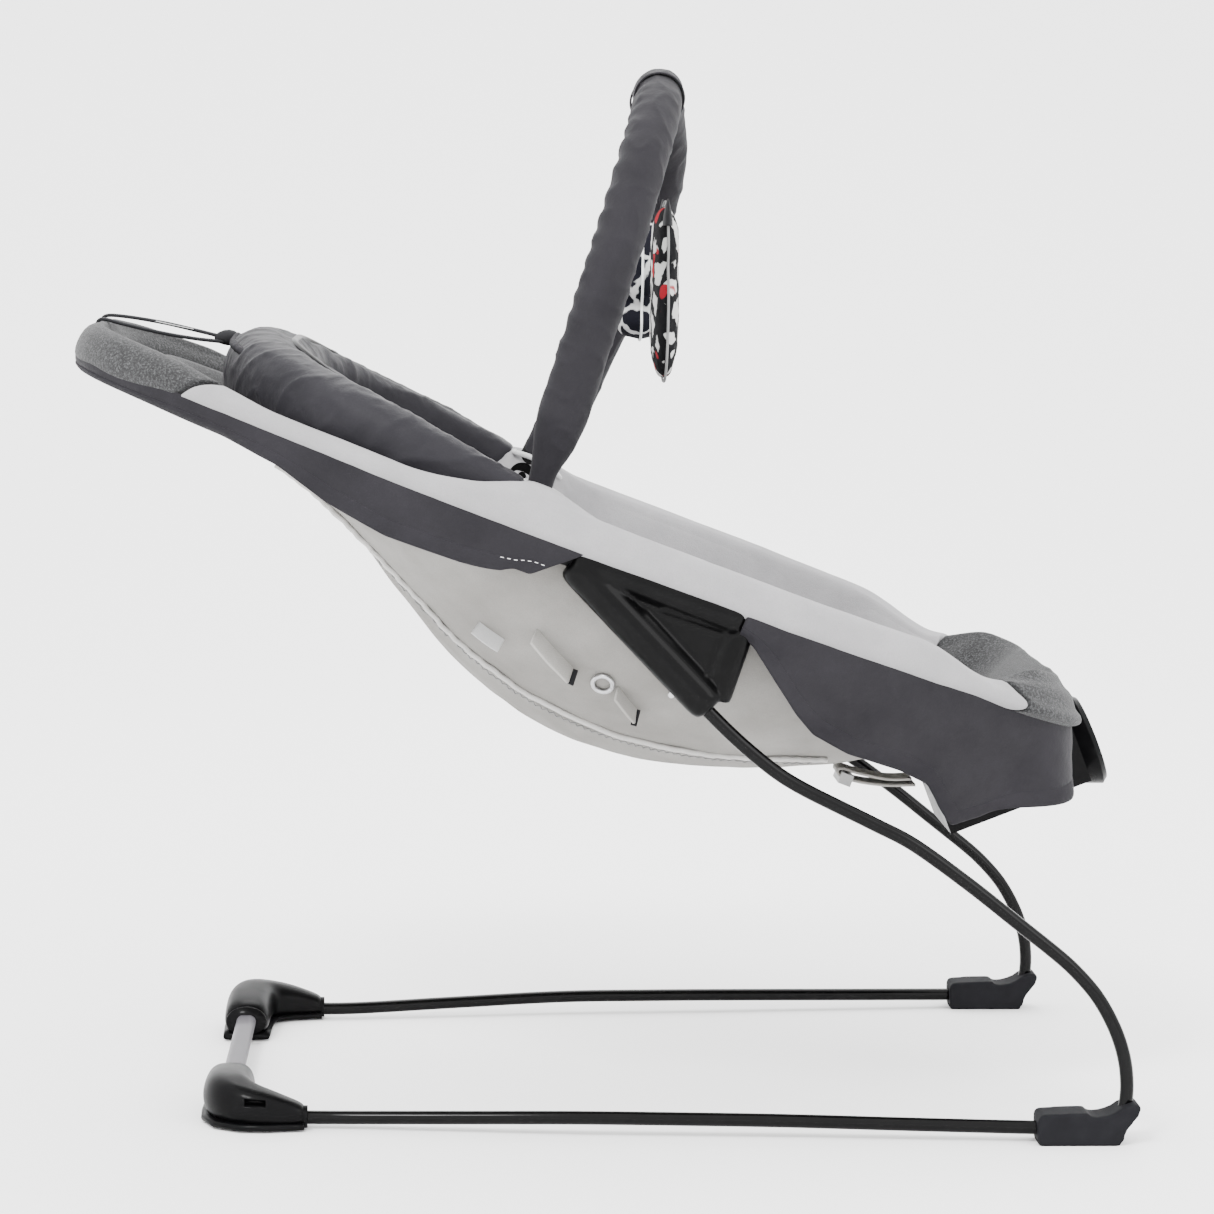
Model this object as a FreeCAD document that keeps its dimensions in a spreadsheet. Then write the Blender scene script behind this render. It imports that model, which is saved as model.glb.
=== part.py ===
"""Baby bouncer seat, built as its real pieces.

Row frame: millimetres, +Z up, origin on the floor under the middle of the object. +X runs from
the baby's head to its feet and +Y to the baby's left. The seat's own parts are drawn in the seat
frame: s along the slope towards the feet, y across, n square to the rim, with n = 0 at the middle
of the seat tube. The control unit has a frame of its own, centred on its dial.
"""
import FreeCAD, Part
import math
import os

import Sketcher

Vector = FreeCAD.Vector
Rotation = FreeCAD.Rotation
Placement = FreeCAD.Placement
ACROSS = Vector(0, 1, 0)
UP = Vector(0, 0, 1)

DIMENSIONS = [
    # base on the floor
    ("wire_dia", 9.0, "side wire"),
    ("wire_height", 9.5, "side wire's middle over the floor at the rear foot"),
    ("corner_wire_height", 7.5, "side wire's middle at the corner housing"),
    ("rear_half", 206.5, "side wire from the middle plane at the rear"),
    ("corner_half", 166.0, "side wire from the middle plane at the corner housing"),
    ("rear_bend_x", 337.0, "rear bend, furthest point of the wire's middle"),
    ("rear_bend_radius", 28.0, "rear bend, middle of the wire"),
    ("flex_gap", 0.7, "break between floor wire and upright, at the flex axis"),
    ("corner_x", -249.0, "crossbar's middle"),
    ("corner_length", 70.0, "corner housing along the side wire"),
    ("corner_width", 28.0, "corner housing across the side wire"),
    ("corner_height", 33.0, "corner housing, top over the floor"),
    ("corner_reach", 92.0, "corner housing along the crossbar"),
    ("corner_arm_width", 34.0, "corner housing across the crossbar"),
    ("base_plate_height", 5.0, "corner base plate"),
    ("pad_height", 1.5, "rubber pad under the base plate"),
    ("crossbar_width", 14.0, "crossbar, flat oval tube"),
    ("crossbar_thick", 9.0, "crossbar, flat oval tube"),
    ("crossbar_wall", 1.5, "crossbar"),
    ("crossbar_z", 15.0, "crossbar's middle over the floor"),
    ("foot_length", 57.0, "rear foot's sole"),
    ("foot_front", 278.0, "rear foot's front face"),
    ("foot_width", 24.0, "rear foot across"),
    ("foot_top", 21.5, "rear foot's body"),
    # seat tube and brackets
    ("seat_tilt", 20.4, "rim plane, foot end down, degrees"),
    ("rim_height", 372.0, "rim plane over the floor at s = 0"),
    ("tube_dia", 16.0, "seat tube"),
    ("tube_wall", 1.2, "seat tube"),
    ("ring_head", 366.6, "seat tube's head end"),
    ("ring_head_half", 88.0, "head end's corner"),
    ("ring_shoulder", 290.0, "shoulder corner, towards the head"),
    ("ring_shoulder_half", 150.0, "shoulder corner"),
    ("ring_wide_head", 130.0, "start of the parallel sides, towards the head"),
    ("ring_wide_foot", 130.0, "end of the parallel sides, towards the feet"),
    ("ring_knee", 255.0, "knee corner, towards the feet"),
    ("ring_knee_half", 150.0, "knee corner"),
    ("ring_foot", 326.0, "seat tube's foot end"),
    ("ring_foot_half", 108.0, "foot end's corner"),
    ("tube_split", 30.0, "where the two tubes meet, inside the bracket"),
    ("arm_start", -28.0, "bracket's upper arm, head end"),
    ("arm_length", 116.0, "bracket's upper arm"),
    ("arm_small_dia", 18.8, "bracket's upper arm, head end"),
    ("arm_large_dia", 24.0, "bracket's upper arm, foot end"),
    ("leg_arm_dia", 21.0, "bracket's lower arm"),
    ("leg_arm_slope", 46.5, "bracket's lower arm over the floor, degrees"),
    ("leg_arm_length", 120.0, "bracket's lower arm"),
    ("leg_arm_x", 60.0, "lower arm's mouth"),
    ("leg_arm_z", 283.5, "lower arm's mouth"),
    ("web_thick", 7.0, "bracket's web"),
    ("rib_thick", 15.0, "bracket's closing rib, across"),
    ("bore_gap", 0.1, "play round a tube or wire in its socket"),
    ("screw_dia", 4.0, "case screw"),
    ("screw_length", 6.0, "case screw"),
    # hubs, toy bar and canopy
    ("hub_s", -60.0, "hub's axis"),
    ("hub_n", 16.0, "hub's axis"),
    ("hub_dia", 26.0, "hub"),
    ("hub_outer", 197.5, "hub's outer face from the middle plane"),
    ("hub_inner", 182.0, "hub's inner face"),
    ("cap_inner", 172.5, "canopy end cap's inner face"),
    ("plug_inner", 147.0, "toy bar plug's inner face"),
    ("pin_dia", 6.0, "hub pin"),
    ("pin_gap", 0.08, "play round the hub pin"),
    ("bar_half", 158.0, "toy bar's leg from the middle plane"),
    ("bar_tilt", 17.9, "toy bar leaning to the feet, degrees"),
    ("bar_height", 287.0, "toy bar's middle over the hub's axis"),
    ("bar_rod_dia", 6.0, "toy bar's rod"),
    ("bar_pad_dia", 32.0, "toy bar's padding"),
    ("bar_pad_low", 26.0, "start of the padding over the hub's axis"),
    ("hoop_dia", 4.5, "canopy hoop"),
    ("hoop_angle", 12.6, "canopy hoop over the rim plane, folded back, degrees"),
    ("hoop_reach", 189.0, "canopy hoop from the hub's axis"),
    # fabric and padding
    ("sling_wall", 6.0, "padded sling"),
    ("sling_lip", -14.0, "sling's top edge"),
    ("sling_margin", 13.0, "sling inside the seat tube's middle"),
    ("pad_low", 12.3, "underside of the rim padding"),
    ("pad_thick", 12.0, "rim padding"),
    ("pad_width", 34.0, "rim padding across"),
    ("skirt_gap", 9.0, "skirt's inner face outside the tube's middle"),
    ("skirt_thick", 2.5, "skirt"),
    ("skirt_top", 6.0, "skirt's top edge"),
    ("head_skirt_low", -31.0, "head skirt's lowest edge"),
    ("foot_skirt_low", -70.0, "foot skirt's lowest edge"),
    ("unit_notch", 52.0, "foot skirt from the middle plane, beside the control unit"),
    ("webbing_width", 25.0, "harness webbing"),
    ("webbing_thick", 1.5, "harness webbing"),
    ("buckle_length", 46.0, "buckle"),
    ("buckle_width", 40.0, "buckle"),
    ("buckle_height", 13.0, "buckle"),
    ("belt_s", 36.0, "waist straps and buckle, along the slope"),
    # control unit
    ("unit_x", 345.9, "dial's middle"),
    ("unit_z", 236.5, "dial's middle"),
    ("unit_slope", 21.2, "unit's axis over the floor, degrees"),
    ("unit_length", 104.0, "unit's case"),
    ("unit_width", 88.0, "unit's case"),
    ("unit_height", 40.0, "unit's case"),
    ("unit_wall", 2.4, "unit's case"),
    ("dial_dia", 66.0, "dial"),
    ("dial_thick", 14.5, "dial"),
    ("button_dia", 11.0, "push button"),
    ("button_length", 4.6, "push button"),
    ("button_spread", 13.0, "push button from the dial's middle"),
    ("door_length", 58.0, "battery door's opening"),
    ("door_width", 66.0, "battery door's opening"),
    ("door_gap", 0.4, "play round the battery door"),
    ("cell_dia", 14.4, "battery cell"),
    ("cell_length", 50.5, "battery cell"),
    ("cell_pitch", 16.0, "battery cell to battery cell"),
    ("motor_dia", 12.0, "vibration motor"),
    ("motor_length", 20.0, "vibration motor"),
    ("weight_dia", 14.0, "motor's eccentric weight"),
    ("board_thick", 1.6, "circuit board"),
    ("board_width", 70.0, "circuit board"),
    ("board_height", 28.0, "circuit board"),
    # toys
    ("loop_gap", 3.0, "toy's loop round the padding"),
    ("loop_thick", 1.5, "toy's loop"),
    ("loop_width", 10.0, "toy's loop"),
]

doc = FreeCAD.newDocument("bouncer_seat")
sheet = doc.addObject("Spreadsheet::Sheet", "Sizes")
for row, (alias, value, note) in enumerate(DIMENSIONS, start=1):
    sheet.set(f"A{row}", note)
    sheet.set(f"B{row}", str(value))
    sheet.setAlias(f"B{row}", alias)
doc.recompute()

nodes = []


def size(alias):
    """A driving dimension from the sheet."""
    return float(sheet.get(alias))


def node(obj, name):
    """Marks an object as a piece of the bouncer, under the name of its file."""
    obj.Label = name
    nodes.append(obj)
    return obj


def bound(obj, **expressions):
    """Binds properties to the sheet. In an expression, a sheet cell is written as its alias."""
    for prop, text in expressions.items():
        for alias, _, _ in sorted(DIMENSIONS, key=lambda d: -len(d[0])):
            text = replace_word(text, alias)
        obj.setExpression(prop.replace("__", "."), text)
    return obj


def replace_word(text, alias):
    """Writes a bare alias as a cell of the sheet."""
    out = ""
    index = 0
    while index < len(text):
        end = index + len(alias)
        before = text[index - 1] if index else " "
        after = text[end] if end < len(text) else " "
        whole = not (before.isalnum() or before in "_.") and not (after.isalnum() or after == "_")
        if text[index:end] == alias and whole:
            out += "Sizes." + alias
            index = end
        else:
            out += text[index]
            index += 1
    return out


def box(name, length, width, height, x, y, z):
    """A Part::Box with its corner at x, y, z. Every value is an expression."""
    made = doc.addObject("Part::Box", name)
    return bound(made, Length=length, Width=width, Height=height,
                 Placement__Base__x=x, Placement__Base__y=y, Placement__Base__z=z)


def rod(name, radius, height, start, direction, angle=None):
    """A Part::Cylinder or, with two radii, a Part::Cone, from start along direction."""
    if isinstance(radius, tuple):
        made = doc.addObject("Part::Cone", name)
        bound(made, Radius1=radius[0], Radius2=radius[1], Height=height)
    else:
        made = doc.addObject("Part::Cylinder", name)
        bound(made, Radius=radius, Height=height)
    made.Placement = Placement(start, Rotation(UP, direction))
    return made


def fused(name, *shapes):
    made = doc.addObject("Part::MultiFuse", name)
    made.Shapes = list(shapes)
    return made


def cut(name, base, tool):
    made = doc.addObject("Part::Cut", name)
    made.Base, made.Tool = base, tool
    return made


def common(name, base, tool):
    made = doc.addObject("Part::Common", name)
    made.Base, made.Tool = base, tool
    return made


def feature(name, shape, placement=None):
    """A Part::Feature that holds a shape made with Part's own functions."""
    made = doc.addObject("Part::Feature", name)
    made.Shape = shape
    if placement:
        made.Placement = placement
    return made


def mirrored(source, name):
    """The left-hand twin of a right-hand piece."""
    made = doc.addObject("Part::Mirroring", name)
    made.Source = source
    made.Normal = ACROSS
    return node(made, name)


def pair(obj, name):
    """Files a right-hand piece and its left-hand twin as one group of separate solids."""
    twin = doc.addObject("Part::Mirroring", name + "_twin")
    twin.Source = obj
    twin.Normal = ACROSS
    return node(fused(name, obj, twin), name)


def both_sides(obj, name):
    """Files a right-hand piece and its left-hand twin."""
    node(obj, name + "_right")
    mirrored(obj, name + "_left")


SEAT = Placement(Vector(0, 0, size("rim_height")), Rotation(ACROSS, size("seat_tilt")))
UNIT = Placement(Vector(size("unit_x"), 0, size("unit_z")), Rotation(ACROSS, -size("unit_slope")))
RIGHT = -1


# ---------------------------------------------------------------- paths and sections

def rounded_path(points, radius=None):
    """Straight runs through the points, joined by tangent arcs as large as the runs allow."""
    points = [Vector(p) for p in points]
    edges = []
    last = points[0]
    for index in range(1, len(points) - 1):
        before, corner, after = points[index - 1:index + 2]
        run_in, run_out = corner - before, after - corner
        turn = run_in.getAngle(run_out)
        if turn < 1e-4:
            continue
        room = 0.45 * min(run_in.Length, run_out.Length)
        reach = room if radius is None else min(room, radius[index - 1] * math.tan(turn / 2))
        bend = reach / math.tan(turn / 2)
        run_in.normalize()
        run_out.normalize()
        start, end = corner - run_in * reach, corner + run_out * reach
        inward = (run_out - run_in).normalize()
        centre = corner + inward * (bend / math.cos(turn / 2))
        if (start - last).Length > 1e-4:
            edges.append(Part.LineSegment(last, start).toShape())
        edges.append(Part.Arc(start, centre - inward * bend, end).toShape())
        last = end
    if (points[-1] - last).Length > 1e-4:
        edges.append(Part.LineSegment(last, points[-1]).toShape())
    return Part.Wire(edges)


def pipe(path, section):
    """A solid swept along a path by a closed section at its start."""
    solid = path.makePipeShell([section], True, False)
    return solid if solid.Volume > 0 else solid.reversed()


def round_section(path, dia):
    first = path.OrderedEdges[0]
    start = first.valueAt(first.FirstParameter)
    return Part.Wire(Part.makeCircle(dia / 2, start, first.tangentAt(first.FirstParameter)))


def round_pipe(points, dia, radius=None):
    path = rounded_path(points, radius)
    return pipe(path, round_section(path, dia))


def round_tube(points, dia, wall, radius=None):
    """A hollow tube."""
    return round_pipe(points, dia, radius).cut(round_pipe(points, dia - 2 * wall, radius))


def ellipse_section(centre, tangent, width, height):
    """An ellipse across the path at its start, with its height along n."""
    side = tangent.cross(UP).normalize()
    curve = Part.Ellipse()
    if width >= height:
        curve.MajorRadius, curve.MinorRadius = width / 2, height / 2
        long_way, short_way = side, UP
    else:
        curve.MajorRadius, curve.MinorRadius = height / 2, width / 2
        long_way, short_way = UP, side
    made = curve.toShape()
    turn = Rotation(long_way, short_way, long_way.cross(short_way), "XYZ")
    made.Placement = Placement(centre, turn)
    return Part.Wire(made)


# ---------------------------------------------------------------- the ring of the seat tube

RING_RADII = {"head": 80.0, "shoulder": 150.0, "wide": 250.0, "waist": 180.0, "knee": 300.0, "foot": 55.0}


def ring_half():
    """The seat tube's corners on the right, from the head end's middle to the foot end's."""
    return [
        (-size("ring_head"), 0.0, None),
        (-size("ring_head"), size("ring_head_half"), RING_RADII["head"]),
        (-size("ring_shoulder"), size("ring_shoulder_half"), RING_RADII["shoulder"]),
        (-size("ring_wide_head"), size("rear_half"), RING_RADII["wide"]),
        (size("ring_wide_foot"), size("rear_half"), RING_RADII["waist"]),
        (size("ring_knee"), size("ring_knee_half"), RING_RADII["knee"]),
        (size("ring_foot"), size("ring_foot_half"), RING_RADII["foot"]),
        (size("ring_foot"), 0.0, None),
    ]


def ring_width(s):
    """Half the width between the seat tube's sides, at s along the slope."""
    corners = ring_half()
    for (s0, w0, _), (s1, w1, _) in zip(corners, corners[1:]):
        if s1 > s0 and s0 <= s <= s1:
            return w0 + (w1 - w0) * (s - s0) / (s1 - s0)
    return corners[1][1] if s < 0 else corners[-2][1]


def ring_run(start, end, height, which):
    """Corner points and radii of a stretch of the ring, at a height over the rim plane."""
    corners = ring_half()
    if which == "head":
        inner = corners[1:4]
        rights = [(start, -ring_width(start))] + [(s, -w) for s, w, _ in reversed(inner) if s < start]
    elif which == "foot":
        inner = corners[4:7]
        rights = [(start, -ring_width(start))] + [(s, -w) for s, w, _ in inner if s > start]
    else:
        inner = [c for c in corners if start < c[0] < end]
        points = [(start, -ring_width(start))] + [(s, -w) for s, w, _ in inner]
        points.append((end, -ring_width(end)))
        return [(s, y, height) for s, y in points], [r for _, _, r in inner]
    radii = {(s, w): r for s, w, r in corners}
    turns = [radii[(s, -y)] for s, y in rights[1:]]
    lefts = [(s, -y) for s, y in reversed(rights)]
    return [(s, y, height) for s, y in rights + lefts], turns + turns[::-1]


def seat_tubes():
    """Two bent tubes, which meet inside the brackets."""
    split = size("tube_split")
    half_gap = 0.25
    for name, start, which in (("seat_tube_head", split - half_gap, "head"),
                               ("seat_tube_foot", split + half_gap, "foot")):
        points, radii = ring_run(start, 0, 0, which)
        tube = round_tube(points, size("tube_dia"), size("tube_wall"), radii)
        node(feature(name, tube, SEAT), name)


# ---------------------------------------------------------------- side wires

FLOOR_WIRE_RADII = [500, 900, 900, 900, size("rear_bend_radius")]
UPRIGHT_RADII = [75, 170, 380, 60]


def floor_wire_points():
    y_rear, bend = -size("rear_half"), size("rear_bend_x")
    return [
        (size("corner_x") + 14, -size("corner_half") + 3, size("corner_wire_height")),
        (-172, -size("corner_half") - 1.5, size("corner_wire_height")),
        (-20, -187, 12.0),
        (115, -195, 11.5),
        (270, y_rear + 1, size("wire_height")),
        (bend, y_rear, size("wire_height")),
        (bend, y_rear, flex_height() - size("flex_gap") / 2),
    ]


def flex_height():
    """Height of the axis that stands for the wires' bending, at the top of the rear bend."""
    return size("wire_height") + size("rear_bend_radius") + 1.0


def leg_arm_direction():
    slope = math.radians(size("leg_arm_slope"))
    return Vector(-math.cos(slope), 0, math.sin(slope))


def upright_points():
    y = -size("rear_half")
    mouth = Vector(size("leg_arm_x"), y, size("leg_arm_z"))
    end = mouth + leg_arm_direction() * 70
    low = mouth - leg_arm_direction() * 50
    return [
        (size("rear_bend_x"), y, flex_height() + size("flex_gap") / 2),
        (size("rear_bend_x"), y, 66.0),
        (293.0, y, 121.0),
        (205.0, y, 190.5),
        tuple(low),
        tuple(end),
    ]


def side_wires():
    floor_wire = round_pipe(floor_wire_points(), size("wire_dia"), FLOOR_WIRE_RADII)
    both_sides(feature("floor_wire", floor_wire), "floor_wire")
    upright = round_pipe(upright_points(), size("wire_dia"), UPRIGHT_RADII)
    both_sides(feature("upright_wire", upright), "upright_wire")


def wire_channel(name, first, last):
    """The room that one straight run of a floor wire needs in a plastic piece."""
    points = [Vector(*p) for p in floor_wire_points()]
    run = points[last] - points[first]
    run_length = run.Length
    run.normalize()
    start = points[first] - run * 2
    return rod(name, "wire_dia / 2 + bore_gap", f"{run_length:.3f} + 4", start, run)


def bend_channel(name):
    """The room that the rear bend of a floor wire needs."""
    dia = size("wire_dia") + 2 * size("bore_gap")
    return feature(name, round_pipe(floor_wire_points(), dia, FLOOR_WIRE_RADII))


# ---------------------------------------------------------------- base

def crossbar():
    """A flat oval tube between the corner housings."""
    half = size("corner_half") - 38
    wide, thick, wall = size("crossbar_width"), size("crossbar_thick"), size("crossbar_wall")

    def oval(width, height):
        flat = (width - height) / 2
        r = height / 2
        arcs = [
            Part.LineSegment(Vector(-flat, -half, r), Vector(flat, -half, r)).toShape(),
            Part.Arc(Vector(flat, -half, r), Vector(flat + r, -half, 0), Vector(flat, -half, -r)).toShape(),
            Part.LineSegment(Vector(flat, -half, -r), Vector(-flat, -half, -r)).toShape(),
            Part.Arc(Vector(-flat, -half, -r), Vector(-flat - r, -half, 0), Vector(-flat, -half, r)).toShape(),
        ]
        return Part.Face(Part.Wire(arcs)).extrude(Vector(0, 2 * half, 0))

    bar = oval(wide, thick).cut(oval(wide - 2 * wall, thick - 2 * wall))
    place = Placement(Vector(size("corner_x"), 0, size("crossbar_z")), Rotation())
    node(feature("base_crossbar", bar, place), "base_crossbar")


def corner_housing():
    """An L-shaped cover over the wire's end and the crossbar's end, on a base plate with pads."""
    along = box("corner_along", "corner_length", "corner_width", "corner_height - base_plate_height",
                "corner_x - corner_arm_width / 2", "-corner_half - corner_width / 2", "base_plate_height")
    across = box("corner_across", "corner_arm_width", "corner_reach", "corner_height - base_plate_height",
                 "corner_x - corner_arm_width / 2", "-corner_half - corner_width / 2", "base_plate_height")
    doc.recompute()
    block = along.Shape.fuse(across.Shape).removeSplitter()
    top = size("corner_height")
    for obj in (along, across):
        doc.removeObject(obj.Name)

    # the cover slopes down along the wire
    x_end = size("corner_x") - size("corner_arm_width") / 2 + size("corner_length")
    x_slope = size("corner_x") + 12
    wedge = Part.Face(Part.makePolygon([
        Vector(x_slope, 0, top + 1), Vector(x_slope, 0, top), Vector(x_end - 16, 0, 25), Vector(x_end + 1, 0, 17.5),
        Vector(x_end + 1, 0, top + 1), Vector(x_slope, 0, top + 1)])).extrude(Vector(0, -400, 0))
    cover = block.cut(wedge)
    upper = [e for e in cover.Edges if e.BoundBox.ZMax > size("base_plate_height") + 4]
    for radius in (9.0, 6.0, 4.0, 2.5):
        try:
            rounded = cover.makeFillet(radius, upper)
        except Part.OCCError:
            continue
        if rounded.isValid() and rounded.Volume > 0:
            cover = rounded
            break
    cover_obj = feature("corner_cover_blank", cover)
    mouth = box("crossbar_mouth", "crossbar_width + 3", "corner_reach", "crossbar_thick + 5",
                "corner_x - crossbar_width / 2 - 1.5", "-corner_half + 30", "crossbar_z - crossbar_thick / 2 - 1.5")
    pocket = box("corner_pocket", "22", "40", "14", "corner_x - 11", "-corner_half - 7", "base_plate_height - 1")
    doc.recompute()
    tools = fused("corner_tools", mouth, pocket, wire_channel("corner_wire_room", 0, 1))
    both_sides(cut("corner_cover", cover_obj, tools), "corner_cover")

    plate_a = box("plate_along", "corner_length - 10", "corner_width - 3", "base_plate_height - pad_height",
                  "corner_x - corner_arm_width / 2 + 1.5", "-corner_half - corner_width / 2 + 1.5", "pad_height")
    plate_b = box("plate_across", "corner_arm_width - 3", "corner_reach - 3", "base_plate_height - pad_height",
                  "corner_x - corner_arm_width / 2 + 1.5", "-corner_half - corner_width / 2 + 1.5", "pad_height")
    plate = fused("corner_plate_blank", plate_a, plate_b)
    both_sides(cut("corner_base", plate, wire_channel("plate_wire_room", 0, 1)), "corner_base")

    pads = []
    x0 = size("corner_x") - size("corner_arm_width") / 2 + 3
    y0 = -size("corner_half") - size("corner_width") / 2 + 3
    for number, (dx, dy, length, width) in enumerate(((0, 0, 34, 22), (42, 2, 14, 18), (1, 66, 9, 20), (19, 66, 9, 20))):
        pad = doc.addObject("Part::Box", f"corner_pad_{number}")
        pad.Length, pad.Width = length, width
        bound(pad, Height="pad_height")
        pad.Placement = Placement(Vector(x0 + dx, y0 + dy, 0), Rotation())
        pads.append(pad)
    pair(fused("corner_pad_set", *pads), "corner_pads")


def rear_foot():
    """A moulded cradle round the rear bend of the wire, with a flat sole and an upswept heel."""
    body = doc.addObject("PartDesign::Body", "rear_foot_body")
    sketch = body.newObject("Sketcher::SketchObject", "rear_foot_outline")
    plane = [f for f in body.Origin.OriginFeatures if f.Role == "XZ_Plane"][0]
    sketch.AttachmentSupport = [(plane, "")]
    sketch.MapMode = "FlatFace"
    front, top = size("foot_front"), size("foot_top")
    heel = front + size("foot_length")
    corners = [
        (front, 0.0), (heel - 4, 0.0), (heel, 4.0), (heel + 2, 9.5), (heel + 9.5, 23.5), (heel + 8.5, 26.0),
        (heel + 1.5, 25.5), (front + 44, 20.5), (front + 33, 18.0), (front + 25, 19.2), (front + 24, top), (front, top),
    ]
    for (x0, z0), (x1, z1) in zip(corners, corners[1:] + corners[:1]):
        sketch.addGeometry(Part.LineSegment(Vector(x0, z0, 0), Vector(x1, z1, 0)), False)
    for index in range(len(corners)):
        after = (index + 1) % len(corners)
        sketch.addConstraint(Sketcher.Constraint("Coincident", index, 2, after, 1))
    sketch.addConstraint(Sketcher.Constraint("Horizontal", 0))
    sketch.addConstraint(Sketcher.Constraint("Vertical", len(corners) - 1))
    length = sketch.addConstraint(Sketcher.Constraint("DistanceX", 0, 1, 0, 2, heel - 4 - front))
    sketch.renameConstraint(length, "sole")
    bound(sketch, Constraints__sole="foot_length - 4")
    pad = body.newObject("PartDesign::Pad", "rear_foot_pad")
    pad.Profile = sketch
    bound(pad, Length="foot_width")
    pad.Midplane = True
    doc.recompute()
    soft = body.newObject("PartDesign::Fillet", "rear_foot_rounding")
    long_edges = [f"Edge{i + 1}" for i, e in enumerate(pad.Shape.Edges)
                  if e.BoundBox.YLength < 0.1 and e.Length > 6]
    soft.Base = (pad, long_edges)
    soft.Radius = 2.0
    doc.recompute()
    if "Invalid" in soft.State or "Error" in soft.State:
        body.removeObject(soft)
        doc.removeObject(soft.Name)
        body.Tip = pad
    body.Placement = Placement(Vector(0, -size("rear_half") + 0.3, 0), Rotation())
    doc.recompute()
    both_sides(cut("rear_foot", body, bend_channel("foot_wire_room")), "rear_foot")


# ---------------------------------------------------------------- brackets

def split_shell(name, whole, at_y):
    """Two half shells of a moulding that close on a plane across y."""
    for side, y in (("outer", at_y - 100), ("inner", at_y)):
        half = doc.addObject("Part::Box", f"{name}_{side}_room")
        half.Length, half.Width, half.Height = 500, 100, 500
        half.Placement = Placement(Vector(-200, y, 150), Rotation())
        both_sides(common(f"{name}_{side}", whole, half), f"{name}_{side}")


def bracket():
    """The triangular moulding that joins the seat tube to the side wire."""
    y = -size("rear_half")
    down_slope = SEAT.Rotation.multVec(Vector(1, 0, 0))
    arm_foot = SEAT.multVec(Vector(size("arm_start"), y, 0))
    upper = rod("upper_arm", ("arm_small_dia / 2", "arm_large_dia / 2"), "arm_length", arm_foot, down_slope)
    mouth = Vector(size("leg_arm_x"), y, size("leg_arm_z"))
    lower = rod("lower_arm", "leg_arm_dia / 2", "leg_arm_length", mouth, leg_arm_direction())
    arm_end = arm_foot + down_slope * size("arm_length")
    peak = arm_foot + down_slope * 6
    tip = mouth + leg_arm_direction() * 4
    web_outline = Part.makePolygon([peak, arm_end - down_slope * 2, tip, mouth + leg_arm_direction() * 112, peak])
    web_shape = Part.Face(web_outline).extrude(Vector(0, size("web_thick"), 0))
    web_shape.translate(Vector(0, -size("web_thick") / 2, 0))
    web = feature("web", web_shape)
    inward = Vector(-6.5, 0, 2)
    rib_outline = Part.makePolygon([arm_end, tip, tip + inward, arm_end + inward, arm_end])
    rib_shape = Part.Face(rib_outline).extrude(Vector(0, size("rib_thick"), 0))
    rib_shape.translate(Vector(0, -size("rib_thick") / 2, 0))
    rib = feature("rib", rib_shape)
    whole = fused("bracket_blank", upper, lower, web, rib)

    tube_room = rod("tube_room", "tube_dia / 2 + bore_gap", "arm_length + 20", arm_foot - down_slope * 10, down_slope)
    wire_room = rod("wire_room", "wire_dia / 2 + bore_gap", "71", mouth - leg_arm_direction(), leg_arm_direction())
    bored = cut("bracket_bored", whole, fused("bracket_bores", tube_room, wire_room))
    screws = screw_set("bracket_screw", [mouth + leg_arm_direction() * 22 + Vector(-7, 0, -7.0),
                                         mouth + leg_arm_direction() * 95,
                                         arm_end + Vector(-11, 0, -14)], y)
    drilled = cut("bracket_drilled", bored, screws["holes"])
    split_shell("bracket", drilled, y)
    pair(screws["screws"], "bracket_screws")


def screw_set(name, places, y):
    """Screws that come in from the inner side, and the holes that they need."""
    screws, holes = [], []
    play = 0.05
    for index, place in enumerate(places):
        start = Vector(place.x, y - size("screw_length") / 2, place.z)
        screws.append(rod(f"{name}_shank_{index}", "screw_dia / 2", "screw_length", start, ACROSS))
        holes.append(rod(f"{name}_hole_{index}", f"screw_dia / 2 + {play}", f"screw_length + 2 * {play}",
                         start - ACROSS * play, ACROSS))
    return {"screws": fused(name + "_set", *screws), "holes": fused(name + "_holes", *holes)}


# ---------------------------------------------------------------- hubs

def hub():
    """A riveted saddle on the inside of the seat tube, with a pin for the canopy and the toy bar."""
    s, n = size("hub_s"), size("hub_n")
    disc = rod("hub_disc", "hub_dia / 2", "hub_outer - hub_inner", Vector(s, -size("hub_outer"), n), ACROSS)
    saddle = box("hub_saddle", "34", "hub_outer - hub_inner + 3", "14",
                 "hub_s - 17", "-hub_outer - 3", "-7")
    tube_room = rod("hub_tube_room", "tube_dia / 2 + bore_gap", "60",
                    Vector(s - 30, -size("rear_half"), 0), Vector(1, 0, 0))
    pin_room = rod("hub_pin_room", "pin_dia / 2", "40", Vector(s, -size("hub_outer") + 3, n), ACROSS)
    blank = fused("hub_blank", disc, saddle)
    whole = cut("hub_body", blank, fused("hub_bores", tube_room, pin_room))
    whole.Placement = SEAT
    both_sides(whole, "hub")
    length = size("hub_outer") - 3 - size("plug_inner") + 1.5
    pin = doc.addObject("Part::Cylinder", "hub_pin_right")
    bound(pin, Radius="pin_dia / 2 - 0.02", Height="hub_outer - 3 - plug_inner + 1.48")
    pin.Placement = SEAT.multiply(Placement(Vector(s, -size("plug_inner") + 1.5 - length, n), Rotation(UP, ACROSS)))
    pair(pin, "hub_pins")


def pivot():
    """The hub's axis in the row frame, in the middle plane."""
    return SEAT.multVec(Vector(size("hub_s"), 0, size("hub_n")))


# ---------------------------------------------------------------- toy bar

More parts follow.
